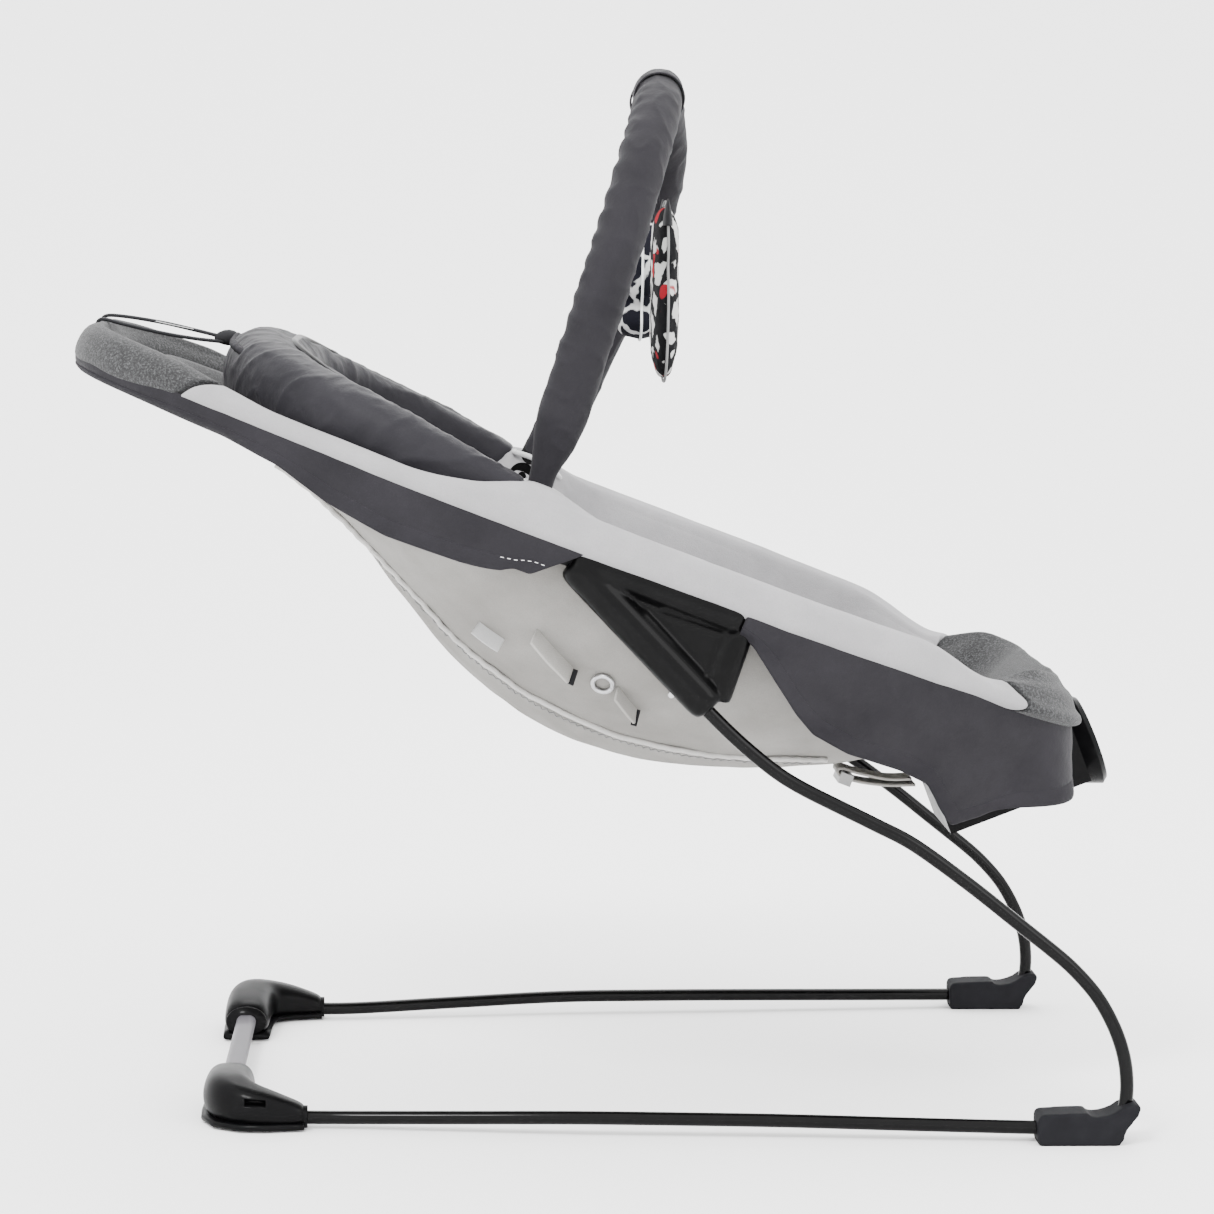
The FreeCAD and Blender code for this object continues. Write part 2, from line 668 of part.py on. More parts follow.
# Corners of the toy bar: across, share of its height up the bar, and forward of its leaning plane.
BAR_CORNERS = [(-168, 0.383, 0), (-128, 0.774, 0), (-52, 1.0, 0), (52, 1.0, 0), (128, 0.774, 24), (168, 0.383, 18)]


def bar_point(across, up, forward=0.0):
    lean = math.radians(size("bar_tilt"))
    base = pivot()
    return Vector(base.x + up * math.sin(lean) + forward, across, base.z + up * math.cos(lean))


def bar_leg(side):
    """Foot and direction of a leg of the toy bar. The leg is straight up to its first corner."""
    foot = bar_point(side * size("bar_half"), 0)
    across, share, forward = BAR_CORNERS[0 if side == RIGHT else -1]
    direction = bar_point(across, share * size("bar_height"), forward) - foot
    return foot, direction.normalize()


def bar_path(low):
    """The toy bar's middle line, from a distance up one leg to the same distance up the other."""
    ends = []
    for side in (RIGHT, -RIGHT):
        foot, direction = bar_leg(side)
        ends.append(foot + direction * low)
    top = size("bar_height")
    return [ends[0]] + [bar_point(y, share * top, f) for y, share, f in BAR_CORNERS] + [ends[1]]


def toy_bar():
    """A bent rod in a foam tube, with a plug at each end that turns on the hub's pin."""
    rod_low = 14.0
    node(feature("toy_bar_rod", round_pipe(bar_path(rod_low), size("bar_rod_dia"))), "toy_bar_rod")
    low = size("bar_pad_low")
    room = round_pipe(bar_path(low - 4), size("bar_rod_dia") + 1.0)
    foam = round_pipe(bar_path(low), size("bar_pad_dia")).cut(room)
    node(feature("toy_bar_padding", foam), "toy_bar_padding")

    plugs = []
    for side, name in ((RIGHT, "right"), (-RIGHT, "left")):
        foot, direction = bar_leg(side)
        axis = pivot()
        eye_start = Vector(axis.x, side * (size("cap_inner") - 2.5), axis.z)
        eye = rod(f"plug_eye_{name}", "9.5", "22", eye_start, ACROSS * -side)
        stem = rod(f"plug_stem_{name}", "8", "bar_pad_low - 0.5", foot, direction)
        pin_room = rod(f"plug_pin_room_{name}", "pin_dia / 2 + pin_gap", "60", eye_start + ACROSS * side * 20,
                       ACROSS * -side)
        rod_room = rod(f"plug_rod_room_{name}", "bar_rod_dia / 2 + bore_gap", "40",
                       foot + direction * (rod_low - 0.2), direction)
        rooms = fused(f"plug_rooms_{name}", pin_room, rod_room)
        plugs.append(cut(f"plug_{name}", fused(f"plug_blank_{name}", eye, stem), rooms))
    node(fused("toy_bar_plugs", *plugs), "toy_bar_plugs")


# ---------------------------------------------------------------- canopy

def hoop_frame():
    """From the plane of the folded hoop, with its reach towards the head, to the row frame."""
    turn = Rotation(ACROSS, size("hoop_angle"))
    return SEAT.multiply(Placement(Vector(size("hub_s"), 0, size("hub_n")), turn))


def arch(half, reach, start):
    """Corners of an arch in the x-y plane that reaches towards -x."""
    right = [(-start, -half, 0), (-0.38 * reach, -half, 0), (-0.80 * reach, -0.80 * half, 0),
             (-reach, -0.40 * half, 0)]
    return right + [(x, -y, z) for x, y, z in reversed(right)]


def canopy():
    """A spring-wire hoop with an end cap on each hub pin, and the folded fabric hung from it."""
    half = size("hub_inner") - 5.5
    hoop = round_pipe(arch(half, size("hoop_reach"), 6.0), size("hoop_dia"))
    node(feature("canopy_hoop", hoop, hoop_frame()), "canopy_hoop")

    outer = size("hub_inner") - 0.5
    thick = outer - size("cap_inner")
    disc = rod("cap_disc", "9", f"{thick}", Vector(0, -outer, 0), ACROSS)
    neck = rod("cap_neck", "4.2", "20", Vector(0, -half, 0), Vector(-1, 0, 0))
    pin_room = rod("cap_pin_room", "pin_dia / 2 + pin_gap", "60", Vector(0, -size("hub_outer"), 0), ACROSS)
    wire_room = rod("cap_wire_room", "hoop_dia / 2 + bore_gap", "40", Vector(-5.8, -half, 0), Vector(-1, 0, 0))
    cap = cut("canopy_cap", fused("cap_blank", disc, neck), fused("cap_rooms", pin_room, wire_room))
    cap.Placement = hoop_frame()
    pair(cap, "canopy_caps")

    fabric_frame = SEAT.multiply(Placement(Vector(size("hub_s"), 0, size("hub_n")), Rotation(ACROSS, 7.6)))
    sections = []
    reach, wide, thin_end = 190.0, 158.0, 1.5
    steps = 8
    for share in range(1 - steps, steps):
        angle = math.radians(90 * share / steps)
        y = wide * math.sin(angle)
        x = -reach * math.cos(angle) ** 0.85
        deep = thin_end + 13.0 * math.cos(angle) ** 1.2
        tall = thin_end + 10.5 * math.cos(angle) ** 1.2
        tangent = Vector(reach * math.sin(angle), wide * math.cos(angle), 0).normalize()
        ring = ellipse_section(Vector(x, y, 0), tangent, 2 * deep, 2 * tall)
        sections.append(ring)
    fabric = Part.makeLoft(sections, True, False)
    node(feature("canopy_fabric", fabric, fabric_frame), "canopy_fabric")


# ---------------------------------------------------------------- fabric on the seat frame

# Depth of the sling's underside below the rim plane, along the slope.
SLING_DEPTH = [(-345, 22), (-290, 24), (-235, 28), (-180, 43), (-117, 80), (-50, 121), (20, 137),
               (86, 132), (150, 111), (205, 88), (262, 56), (300, 34)]


# The panels that the sling is sewn from: name, first and last place along the slope.
SLING_PANELS = [("sling_back", -400, -117), ("sling_seat", -117, 86), ("sling_legs", 86, 400)]


def sling_section(s, depth, inset):
    """Points across the sling at s, from lip to lip, inset from its outer face."""
    half = ring_width(s) - size("sling_margin") - inset
    lip = size("sling_lip")
    deep = depth + lip - inset
    points = []
    for step in range(0, 9):
        angle = math.pi * step / 8
        across = -half * math.copysign(abs(math.cos(angle)) ** 0.80, math.cos(angle))
        points.append(Vector(s, across, lip - deep * math.sin(angle) ** 0.80))
    return points


def sling():
    """The padded hammock that the baby lies in, open at the top."""
    sections = []
    for s, depth in SLING_DEPTH:
        outer = sling_section(s, depth, 0)
        inner = sling_section(s, depth, size("sling_wall"))[::-1]
        curves = []
        for points in (outer, inner):
            curve = Part.BSplineCurve()
            curve.interpolate(points)
            curves.append(curve.toShape())
        lips = [Part.LineSegment(outer[-1], inner[0]).toShape(), Part.LineSegment(inner[-1], outer[0]).toShape()]
        sections.append(Part.Wire([curves[0], lips[0], curves[1], lips[1]]))
    whole = Part.makeLoft(sections, True, False)
    for name, first, last in SLING_PANELS:
        slab = Part.makeBox(last - first, 500, 300, Vector(first, -250, -200))
        node(feature(name, whole.common(slab), SEAT), name)


def rim_padding():
    """Soft rolls on top of the seat tube: a wing on each side, a head roll and a foot roll."""
    height = size("pad_low") + size("pad_thick") / 2

    def roll(points, radii):
        path = rounded_path(points, radii)
        first = path.OrderedEdges[0]
        start = first.valueAt(first.FirstParameter)
        tangent = first.tangentAt(first.FirstParameter)
        return pipe(path, ellipse_section(start, tangent, size("pad_width"), size("pad_thick")))

    points, radii = ring_run(-268, 268, height, "side")
    wing = feature("wing_blank", roll(points, radii))
    slot = box("wing_slot", "40", "40", "60", "hub_s - 20", "-hub_outer - 1", "-20")
    wing_cut = cut("wing", wing, slot)
    wing_cut.Placement = SEAT
    both_sides(wing_cut, "wing")
    points, radii = ring_run(-270, 0, height, "head")
    node(feature("head_roll", roll(points, radii), SEAT), "head_roll")
    points, radii = ring_run(270, 0, height, "foot")
    node(feature("foot_roll", roll(points, radii), SEAT), "foot_roll")


# Lower edge of each skirt, from the bracket to the end of the seat: along the slope, over the rim plane.
HEAD_SKIRT_EDGE = [(-33, -22), (-60, -26), (-100, -29), (-142, -30), (-184, -25), (-221, -14), (-300, -7), (-400, -7)]
FOOT_SKIRT_EDGE = [(93, -13), (141, -46), (160, -56), (245, -60), (276, -69), (290, -66), (331, -24), (400, -24)]


def skirts():
    """The outer fabric, which hangs from the seat tube on both sides of the brackets."""
    head = size("arm_start") - 5
    foot = size("arm_start") + size("arm_length") + 5
    node(feature("head_skirt", skirt_wall(head, size("head_skirt_low"), "head", HEAD_SKIRT_EDGE), SEAT), "head_skirt")
    whole = skirt_wall(foot, size("foot_skirt_low"), "foot", FOOT_SKIRT_EDGE)
    side = Part.makeBox(500, 400, 300, Vector(0, -400 - size("unit_notch"), -150))
    both_sides(feature("foot_skirt", whole.common(side), SEAT), "foot_skirt")


def skirt_wall(start, low, which, edge):
    """A wall round one end of the seat tube, cut to its lower edge."""
    points, radii = ring_run(start, 0, 0, which)
    path = rounded_path(points, radii)
    outward = -1 if which == "head" else 1
    near = size("skirt_gap")
    walls = [path.makeOffset2D(outward * grow, 2, False, True) for grow in (near, near + size("skirt_thick"))]
    ends = [Part.LineSegment(end_point(walls[0], i), end_point(walls[1], i)).toShape() for i in (0, -1)]
    outline = Part.Wire(Part.__sortEdges__(walls[0].Edges + walls[1].Edges + ends))
    wall = Part.Face(outline).extrude(Vector(0, 0, size("skirt_top") - low))
    wall.translate(Vector(0, 0, low))
    below = [Vector(s, -300, n) for s, n in edge]
    below += [Vector(edge[-1][0], -300, -200), Vector(edge[0][0] - math.copysign(40, edge[-1][0]), -300, -200)]
    below.append(Vector(below[-1].x, -300, edge[0][1]))
    trim = Part.Face(Part.makePolygon(below + below[:1])).extrude(Vector(0, 600, 0))
    return wall.cut(trim)


def end_point(wire, at_end):
    """The first or last point of an open wire, told apart by the sign of y."""
    points = [v.Point for v in wire.OrderedVertexes]
    ends = sorted((points[0], points[-1]), key=lambda p: p.y)
    return ends[at_end]


# ---------------------------------------------------------------- harness and straps

def strap_along(points, width, thick, y=0.0):
    """A flat strap in the s-n plane: a band of even thickness through the points."""
    path = rounded_path([(s, 0, n) for s, n in points])
    first = path.OrderedEdges[0]
    start = first.valueAt(first.FirstParameter)
    tangent = first.tangentAt(first.FirstParameter)
    normal = tangent.cross(ACROSS).normalize()
    half_w, half_t = ACROSS * (width / 2), normal * (thick / 2)
    corners = [start - half_w - half_t, start + half_w - half_t, start + half_w + half_t, start - half_w + half_t]
    made = pipe(path, Part.makePolygon(corners + corners[:1]))
    made.translate(Vector(0, y, 0))
    return made


def harness():
    """A crotch strap, two waist straps and a buckle with a release button, on the sling's floor."""
    wide, thick, wall = size("webbing_width"), size("webbing_thick"), size("sling_wall")
    s_belt = size("belt_s")
    depth, lift = 136.0, 2.2
    for side, name in ((-1, "waist_strap_right"), (1, "waist_strap_left")):
        inner = sling_section(s_belt, depth, wall + lift)
        outer = sling_section(s_belt, depth, wall + lift + thick)
        keep = range(1, 4) if side < 0 else range(5, 8)
        faces = []
        for points in (inner, outer):
            run = [points[i] for i in keep]
            curve = Part.BSplineCurve()
            curve.interpolate(run)
            faces.append((curve.toShape(), run))
        ends = [Part.LineSegment(faces[0][1][i], faces[1][1][i]).toShape() for i in (0, -1)]
        outline = Part.Wire(Part.__sortEdges__([faces[0][0], faces[1][0]] + ends))
        belt = Part.Face(outline).extrude(Vector(wide, 0, 0))
        belt.translate(Vector(-wide / 2, 0, 0))
        node(feature(name, belt, SEAT), name)

    floor_n = wall + lift - depth
    crotch = strap_along([(118, -112), (96, -117.5), (s_belt + 26, floor_n + 5)], wide, thick)
    node(feature("crotch_strap", crotch, SEAT), "crotch_strap")

    shell = box("buckle_shell", "buckle_length", "buckle_width", "buckle_height",
                "belt_s - buckle_length / 2", "-buckle_width / 2", f"{floor_n}")
    button_room = box("button_room", "16.4", "20.4", "20", f"{s_belt - 8.2}", "-10.2", f"{floor_n + 5}")
    well = cut("buckle_body", shell, button_room)
    well.Placement = SEAT
    node(well, "buckle_body")
    button = box("buckle_button_block", "16", "20", "9.5", f"{s_belt - 8}", "-10", f"{floor_n + 9}")
    round_off = doc.addObject("Part::Fillet", "buckle_button")
    doc.recompute()
    round_off.Base = button
    round_off.Edges = [(i + 1, 1.5, 1.5) for i, e in enumerate(button.Shape.Edges)
                       if e.BoundBox.ZLength < 0.01 and e.BoundBox.ZMin > floor_n + 17]
    round_off.Placement = SEAT
    node(round_off, "buckle_button")


def tie_straps():
    """The elastic from the canopy's hem to the seat's head end, and the strap under the sling."""
    tie = strap_along([(-370, 25.8), (-345, 29), (-291, 42), (-282, 44)], 9, 2.0)
    node(feature("canopy_tie", tie, SEAT), "canopy_tie")
    front = strap_along([(225, -92), (245, -90), (264, -83)], 27, 2.0)
    node(feature("front_strap", front, SEAT), "front_strap")
    slide = box("slide_block", "9", "33", "8", "214", "-16.5", "-97")
    slide_room = box("slide_room", "4", "28", "20", "216.5", "-14", "-100")
    loop = cut("front_slide", slide, slide_room)
    loop.Placement = SEAT
    node(loop, "front_slide")


# ---------------------------------------------------------------- control unit

def control_unit():
    """A battery case hung under the foot tube, with a round control dial on its outer face."""
    gap = 0.4
    back = "-dial_thick - unit_length"
    case = box("case_block", "unit_length - 0.4", "unit_width", "unit_height", back, "-unit_width / 2", "-unit_height / 2")
    hollow = box("case_hollow", "unit_length - 0.4 - 2 * unit_wall", "unit_width - 2 * unit_wall",
                 "unit_height - 2 * unit_wall", back + " + unit_wall", "-unit_width / 2 + unit_wall",
                 "-unit_height / 2 + unit_wall")
    door_room = box("door_room", "door_length", "door_width", "10", back + " + 8", "-door_width / 2",
                    "-unit_height / 2 - 5")
    tube = UNIT.inverse().multVec(SEAT.multVec(Vector(size("ring_foot"), 0, 0)))
    clips = []
    for number, y in enumerate((-34.0, 22.0)):
        clip = doc.addObject("Part::Box", f"clip_{number}")
        clip.Length, clip.Width = 21.5, 12
        bound(clip, Height=f"{tube.z:.4f} + 3 - unit_height / 2 + 1")
        clip.Placement = Placement(Vector(-size("dial_thick") - 22.5, y, size("unit_height") / 2 - 1), Rotation())
        clips.append(clip)
    tube_room = rod("unit_tube_room", "tube_dia / 2 + bore_gap", "200", Vector(tube.x, -100, tube.z), ACROSS)
    shell = fused("case_shell", case, *clips)
    motor_rooms = fused("case_rooms", hollow, door_room, tube_room)
    body = cut("unit_case", shell, motor_rooms)
    body.Placement = UNIT
    node(body, "unit_case")

    door = box("battery_door_plate", "door_length - 2 * door_gap", "door_width - 2 * door_gap", "unit_wall",
               back + " + 8 + door_gap", "door_gap - door_width / 2", "-unit_height / 2")
    doc.recompute()
    screw_x = -size("dial_thick") - size("unit_length") + 14
    door_hole = rod("door_hole", "screw_dia / 2 + 0.05", "20", Vector(screw_x, 0, -30), UP)
    door_cut = cut("battery_door", door, door_hole)
    door_cut.Placement = UNIT
    node(door_cut, "battery_door")
    screw = doc.addObject("Part::Cylinder", "door_screw")
    bound(screw, Radius="screw_dia / 2", Height="7")
    screw.Placement = UNIT.multiply(Placement(Vector(screw_x, 0, -size("unit_height") / 2 + 0.2), Rotation()))
    node(screw, "door_screw")

    cells = []
    for number in range(3):
        x = -size("dial_thick") - size("unit_length") + 22 + size("cell_pitch") * number
        cell = doc.addObject("Part::Cylinder", f"cell_{number}")
        bound(cell, Radius="cell_dia / 2", Height="cell_length")
        cell.Placement = UNIT.multiply(Placement(Vector(x, -25, -size("unit_height") / 2 + 11.5), Rotation(UP, ACROSS)))
        cells.append(cell)
    node(fused("battery_cells", *cells), "battery_cells")

    board = box("board_plate", "board_thick", "board_width", "board_height", "-dial_thick - 14",
                "-board_width / 2", "-board_height / 2")
    board_obj = fused("control_board", board, box("board_chip", "3", "12", "12", "-dial_thick - 12.4", "-30", "-6"))
    board_obj.Placement = UNIT
    node(board_obj, "control_board")
    motor = doc.addObject("Part::Cylinder", "vibration_motor")
    bound(motor, Radius="motor_dia / 2", Height="motor_length")
    motor_x = -size("dial_thick") - 30
    motor.Placement = UNIT.multiply(Placement(Vector(motor_x, -14, 2), Rotation(UP, ACROSS)))
    node(motor, "vibration_motor")
    weight_disc = rod("weight_disc", "weight_dia / 2", "6", Vector(motor_x, 8, 2), ACROSS)
    weight_off = box("weight_off", "20", "8", "10", f"{motor_x - 10}", "7", "2.5")
    weight = cut("eccentric_weight", weight_disc, weight_off)
    weight.Placement = UNIT
    node(weight, "eccentric_weight")

    outward = Vector(1, 0, 0)
    dial = rod("dial_disc", ("dial_dia / 2 - 4", "dial_dia / 2"), "dial_thick - 4",
               Vector(-size("dial_thick") + gap, 0, 0), outward)
    face = rod("dial_face", ("dial_dia / 2", "dial_dia / 2 - 3"), f"{4 - gap}", Vector(-4 + gap, 0, 0), outward)
    rooms = []
    for number, side in enumerate((-1, 1)):
        z = side * size("button_spread")
        rooms.append(rod(f"button_room_{number}", "button_dia / 2 + 0.15", "8", Vector(-5.5, 0, z), Vector(1, 0, 0)))
        button = doc.addObject("Part::Cylinder", f"button_{number}")
        bound(button, Radius="button_dia / 2", Height="button_length")
        button.Placement = UNIT.multiply(Placement(Vector(-3.4, 0, z), Rotation(UP, Vector(1, 0, 0))))
        node(button, "power_button" if side > 0 else "music_button")
    dial_cut = cut("dial", fused("dial_blank", dial, face), fused("dial_rooms", *rooms))
    dial_cut.Placement = UNIT
    node(dial_cut, "dial")


# ---------------------------------------------------------------- toys

def bar_centre(across):
    """The point of the toy bar's middle line that is as far across as given."""
    path = rounded_path(bar_path(size("bar_pad_low")))
    upper = [p for p in path.discretize(2000) if p.z > size("rim_height") + size("bar_height") / 2]
    return min(upper, key=lambda p: abs(p.y - across))


def toy(name, across, centre_z, radii):
    """A plush toy on a ribbon, hung from a loop round the toy bar."""
    top = bar_centre(across)
    inner = size("bar_pad_dia") / 2 + size("loop_gap")
    outer = inner + size("loop_thick")
    wide = size("loop_width")
    thick = size("loop_thick")
    ring_start = Vector(top.x, across - wide / 2, top.z)
    ring = Part.makeCylinder(outer, wide, ring_start, ACROSS).cut(Part.makeCylinder(inner, wide, ring_start, ACROSS))
    ribbon_low = centre_z + radii[2] - 3
    ribbon_high = top.z - inner - thick / 2
    ribbon = Part.makeBox(thick, wide, ribbon_high - ribbon_low, Vector(top.x - thick / 2, across - wide / 2, ribbon_low))
    loop = feature(name + "_loop_shape", ring.fuse(ribbon).removeSplitter())
    plush = doc.addObject("Part::Ellipsoid", name)
    plush.Radius1, plush.Radius2, plush.Radius3 = radii[2], radii[0], radii[1]
    plush.Angle1, plush.Angle2, plush.Angle3 = -90, 90, 360
    plush.Placement = Placement(Vector(top.x, across, centre_z), Rotation())
    node(cut(name + "_loop", loop, plush), name + "_loop")
    node(plush, name)
    print(f"{name} hangs from {top.x:.2f}, {top.y:.2f}, {top.z:.2f}")


def toys():
    toy("toy_panda", -44, 546, (7.5, 46.0, 60.0))
    toy("toy_bird", 44, 553, (19.0, 36.0, 42.0))


# ---------------------------------------------------------------- build and write

def check(objects):
    """Stops if any object failed or a piece isn't a valid closed solid."""
    for obj in doc.Objects:
        if "Invalid" in obj.State or "Error" in obj.State:
            raise RuntimeError(f"{obj.Label} failed: {obj.State}")
    for obj in objects:
        shape = obj.Shape
        if shape.isNull() or not shape.isValid() or not shape.Solids or shape.Volume <= 0:
            raise RuntimeError(f"{obj.Label} isn't a valid solid")


def write(objects):
    os.makedirs("parts", exist_ok=True)
    for obj in objects:
        obj.Shape.exportStep(f"parts/{obj.Label}.step")
        print(f"{obj.Label:24s} {len(obj.Shape.Solids)} solid(s) {obj.Shape.Volume / 1000:9.2f} cm3")


for build in (crossbar, corner_housing, rear_foot, side_wires, seat_tubes, bracket, hub, toy_bar, canopy,
              sling, rim_padding, skirts, harness, tie_straps, control_unit, toys):
    build()
    doc.recompute()
check(nodes)
write(nodes)
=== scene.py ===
"""Looks of the bouncer seat: fabric, padding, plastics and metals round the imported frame.

The seat's own parts are drawn in the seat frame, in millimetres: s along the slope towards the
feet, y across, n square to the rim with n = 0 at the middle of the seat tube. rim() turns that
into the row frame, in metres.
"""

from math import acos, copysign, cos, exp, hypot, pi, radians, sin, sqrt, tan, tau

import bmesh
import bpy
import numpy as np
from mathutils import Matrix, Vector, noise


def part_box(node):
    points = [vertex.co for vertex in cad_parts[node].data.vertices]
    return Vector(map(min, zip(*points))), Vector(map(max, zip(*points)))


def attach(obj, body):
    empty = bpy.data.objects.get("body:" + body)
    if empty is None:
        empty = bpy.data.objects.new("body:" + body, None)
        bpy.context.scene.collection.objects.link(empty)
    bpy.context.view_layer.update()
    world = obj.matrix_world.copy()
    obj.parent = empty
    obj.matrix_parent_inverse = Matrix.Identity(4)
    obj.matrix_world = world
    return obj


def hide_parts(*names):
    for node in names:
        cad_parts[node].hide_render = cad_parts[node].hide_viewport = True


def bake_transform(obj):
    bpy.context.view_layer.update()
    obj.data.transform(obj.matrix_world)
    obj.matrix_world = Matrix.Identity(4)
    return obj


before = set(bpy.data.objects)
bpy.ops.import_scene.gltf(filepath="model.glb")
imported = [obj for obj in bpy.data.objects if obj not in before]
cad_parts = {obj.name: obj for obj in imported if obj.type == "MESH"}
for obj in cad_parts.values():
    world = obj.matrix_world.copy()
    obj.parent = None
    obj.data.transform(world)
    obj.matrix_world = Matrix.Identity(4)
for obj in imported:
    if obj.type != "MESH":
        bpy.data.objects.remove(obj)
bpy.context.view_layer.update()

MM = 0.001
SEAT_TILT = radians(20.4)
RIM_HEIGHT = 372.0
RIGHT, LEFT = -1, 1
HUB_S, HUB_N = -60.0, 16.0

# The seat tube's corners on the right: along the slope, half width, bend radius.
RING = [(-366.6, 0, 0), (-366.6, 88, 80), (-290, 150, 150), (-130, 206.5, 250), (130, 206.5, 180),
        (255, 150, 300), (326, 108, 55), (326, 0, 0)]
# Depth of the sling's underside below the rim plane, along the slope.
DEPTH = [(-400, 11), (-345, 12), (-290, 14), (-235, 19), (-180, 40), (-117, 80), (-50, 121), (20, 137),
         (86, 132), (150, 111), (205, 88), (262, 56), (300, 34), (360, 20)]


def rim(s, y, n):
    """A point of the seat frame, as a point of the row frame in metres."""
    x = s * cos(SEAT_TILT) + n * sin(SEAT_TILT)
    z = RIM_HEIGHT - s * sin(SEAT_TILT) + n * cos(SEAT_TILT)
    return Vector((x, y, z)) * MM


def smooth(x):
    """Eases from 0 to 1 as x does."""
    x = min(1.0, max(0.0, x))
    return x * x * (3 - 2 * x)


def bump(x, centre, width):
    return exp(-((x - centre) / width) ** 2)


def table(pairs, x):
    """Reads a table of pairs with straight lines between its rows."""
    return float(np.interp(x, [p[0] for p in pairs], [p[1] for p in pairs]))


def wave(point, scale, seed=0.0):
    """Smooth noise from -1 to 1 at a point in millimetres."""
    return noise.noise(Vector(point) / scale + Vector((seed, seed * 1.7, -seed)))


# ---------------------------------------------------------------- the ring of the seat tube

def rounded(corners, step=3.0):
    """The corners' straight runs joined by tangent arcs, as evenly spaced points."""
    points = [np.array(corners[0][:2], float)]
    for before, corner, after in zip(corners, corners[1:], corners[2:]):
        a, b, c = (np.array(p[:2], float) for p in (before, corner, after))
        go_in, go_out = b - a, c - b
        long_in, long_out = np.linalg.norm(go_in), np.linalg.norm(go_out)
        go_in, go_out = go_in / long_in, go_out / long_out
        turn = acos(np.clip(go_in @ go_out, -1, 1))
        reach = min(0.45 * min(long_in, long_out), corner[2] * tan(turn / 2))
        radius = reach / tan(turn / 2)
        inward = (go_out - go_in) / np.linalg.norm(go_out - go_in)
        centre = b + inward * radius / cos(turn / 2)
        count = max(3, int(radius * turn / step))
        for k in range(count + 1):
            angle = turn * (k / count - 0.5)
            across = go_in + go_out
            across = across / np.linalg.norm(across)
            points.append(centre - inward * radius * cos(angle) + across * radius * sin(angle))
    points.append(np.array(corners[-1][:2], float))
    points = np.array(points)
    lengths = np.concatenate([[0], np.cumsum(np.linalg.norm(np.diff(points, axis=0), axis=1))])
    even = np.linspace(0, lengths[-1], int(lengths[-1] / step))
    return np.stack([np.interp(even, lengths, points[:, k]) for k in range(2)], axis=1)


HALF_RING = rounded(RING)
RING_LENGTH = float(np.linalg.norm(np.diff(HALF_RING, axis=0), axis=1).sum())


def ring_at(u):
    """Point and outward normal of the seat tube's middle line. u goes from 0 at the head's
    middle over the right side to 1 at the feet's middle and over the left side back to 2."""
    u = u % 2.0
    side = RIGHT if u <= 1 else LEFT
    if u > 1:
        u = 2 - u
    x = u * (len(HALF_RING) - 1)
    k = min(int(x), len(HALF_RING) - 2)
    point = HALF_RING[k] + (HALF_RING[k + 1] - HALF_RING[k]) * (x - k)
    low, high = max(0, k - 1), min(len(HALF_RING) - 1, k + 2)
    along = HALF_RING[high] - HALF_RING[low]
    along = along / np.linalg.norm(along)
    normal = np.array([-along[1], along[0]])
    if k < 1 or k > len(HALF_RING) - 3:
        normal = np.array([-1.0 if k < 3 else 1.0, 0.0])
    return point[0], point[1] * side, normal[0], normal[1] * side


def ring_u(s):
    """The u on the right side where the ring passes s."""
    index = int(np.argmin(np.abs(HALF_RING[:, 0] - s)))
    return index / (len(HALF_RING) - 1)


# ---------------------------------------------------------------- mesh helpers

def link(name, data):
    """A new object in the scene, for a mesh, a curve, a light or a camera."""
    obj = bpy.data.objects.new(name, data)
    bpy.context.scene.collection.objects.link(obj)
    return obj


def smooth_faces(obj):
    obj.data.polygons.foreach_set("use_smooth", [True] * len(obj.data.polygons))


def modify(obj, kind, **settings):
    modifier = obj.modifiers.new(kind, kind)
    for name, value in settings.items():
        setattr(modifier, name, value)
    return modifier


def apply_all(obj):
    """Applies every modifier of a piece to its mesh."""
    bpy.context.view_layer.update()
    graph = bpy.context.evaluated_depsgraph_get()
    mesh = bpy.data.meshes.new_from_object(obj.evaluated_get(graph))
    obj.modifiers.clear()
    obj.data = mesh
    smooth_faces(obj)


def subdivide(obj, levels=1):
    modify(obj, "SUBSURF", levels=levels, render_levels=levels)
    apply_all(obj)
    return obj


def solid(name, vertices, faces):
    """A mesh object with its double points joined and its faces outwards."""
    mesh = bpy.data.meshes.new(name)
    mesh.from_pydata([tuple(v) for v in vertices], [], faces)
    work = bmesh.new()
    work.from_mesh(mesh)
    bmesh.ops.remove_doubles(work, verts=work.verts, dist=1e-6)
    bmesh.ops.recalc_face_normals(work, faces=work.faces)
    work.to_mesh(mesh)
    work.free()
    return link(name, mesh)


def loft(name, rows, closed=False):
    """A surface through rows of points. Each row is a closed ring. closed joins the last row to
    the first, and otherwise the two ends are filled."""
    count = len(rows[0])
    vertices = [p for row in rows for p in row]
    faces = []
    for i in range(len(rows) if closed else len(rows) - 1):
        j = (i + 1) % len(rows)
        for k in range(count):
            m = (k + 1) % count
            faces.append((i * count + k, i * count + m, j * count + m, j * count + k))
    for row in () if closed else (0, len(rows) - 1):
        vertices.append(sum((Vector(p) for p in rows[row]), Vector()) / count)
        tip = len(vertices) - 1
        for k in range(count):
            a, b = row * count + k, row * count + (k + 1) % count
            faces.append((a, b, tip) if row else (b, a, tip))
    obj = solid(name, vertices, faces)
    smooth_faces(obj)
    return obj


def joined(name, objs):
    """One object out of several."""
    bpy.ops.object.select_all(action="DESELECT")
    for obj in objs:
        obj.select_set(True)
    bpy.context.view_layer.objects.active = objs[0]
    if len(objs) > 1:
        bpy.ops.object.join()
    objs[0].name = name
    objs[0].data.name = name
    return objs[0]


def bend(x, power):
    """A power of x that keeps its sign."""
    return copysign(abs(x) ** power, x)


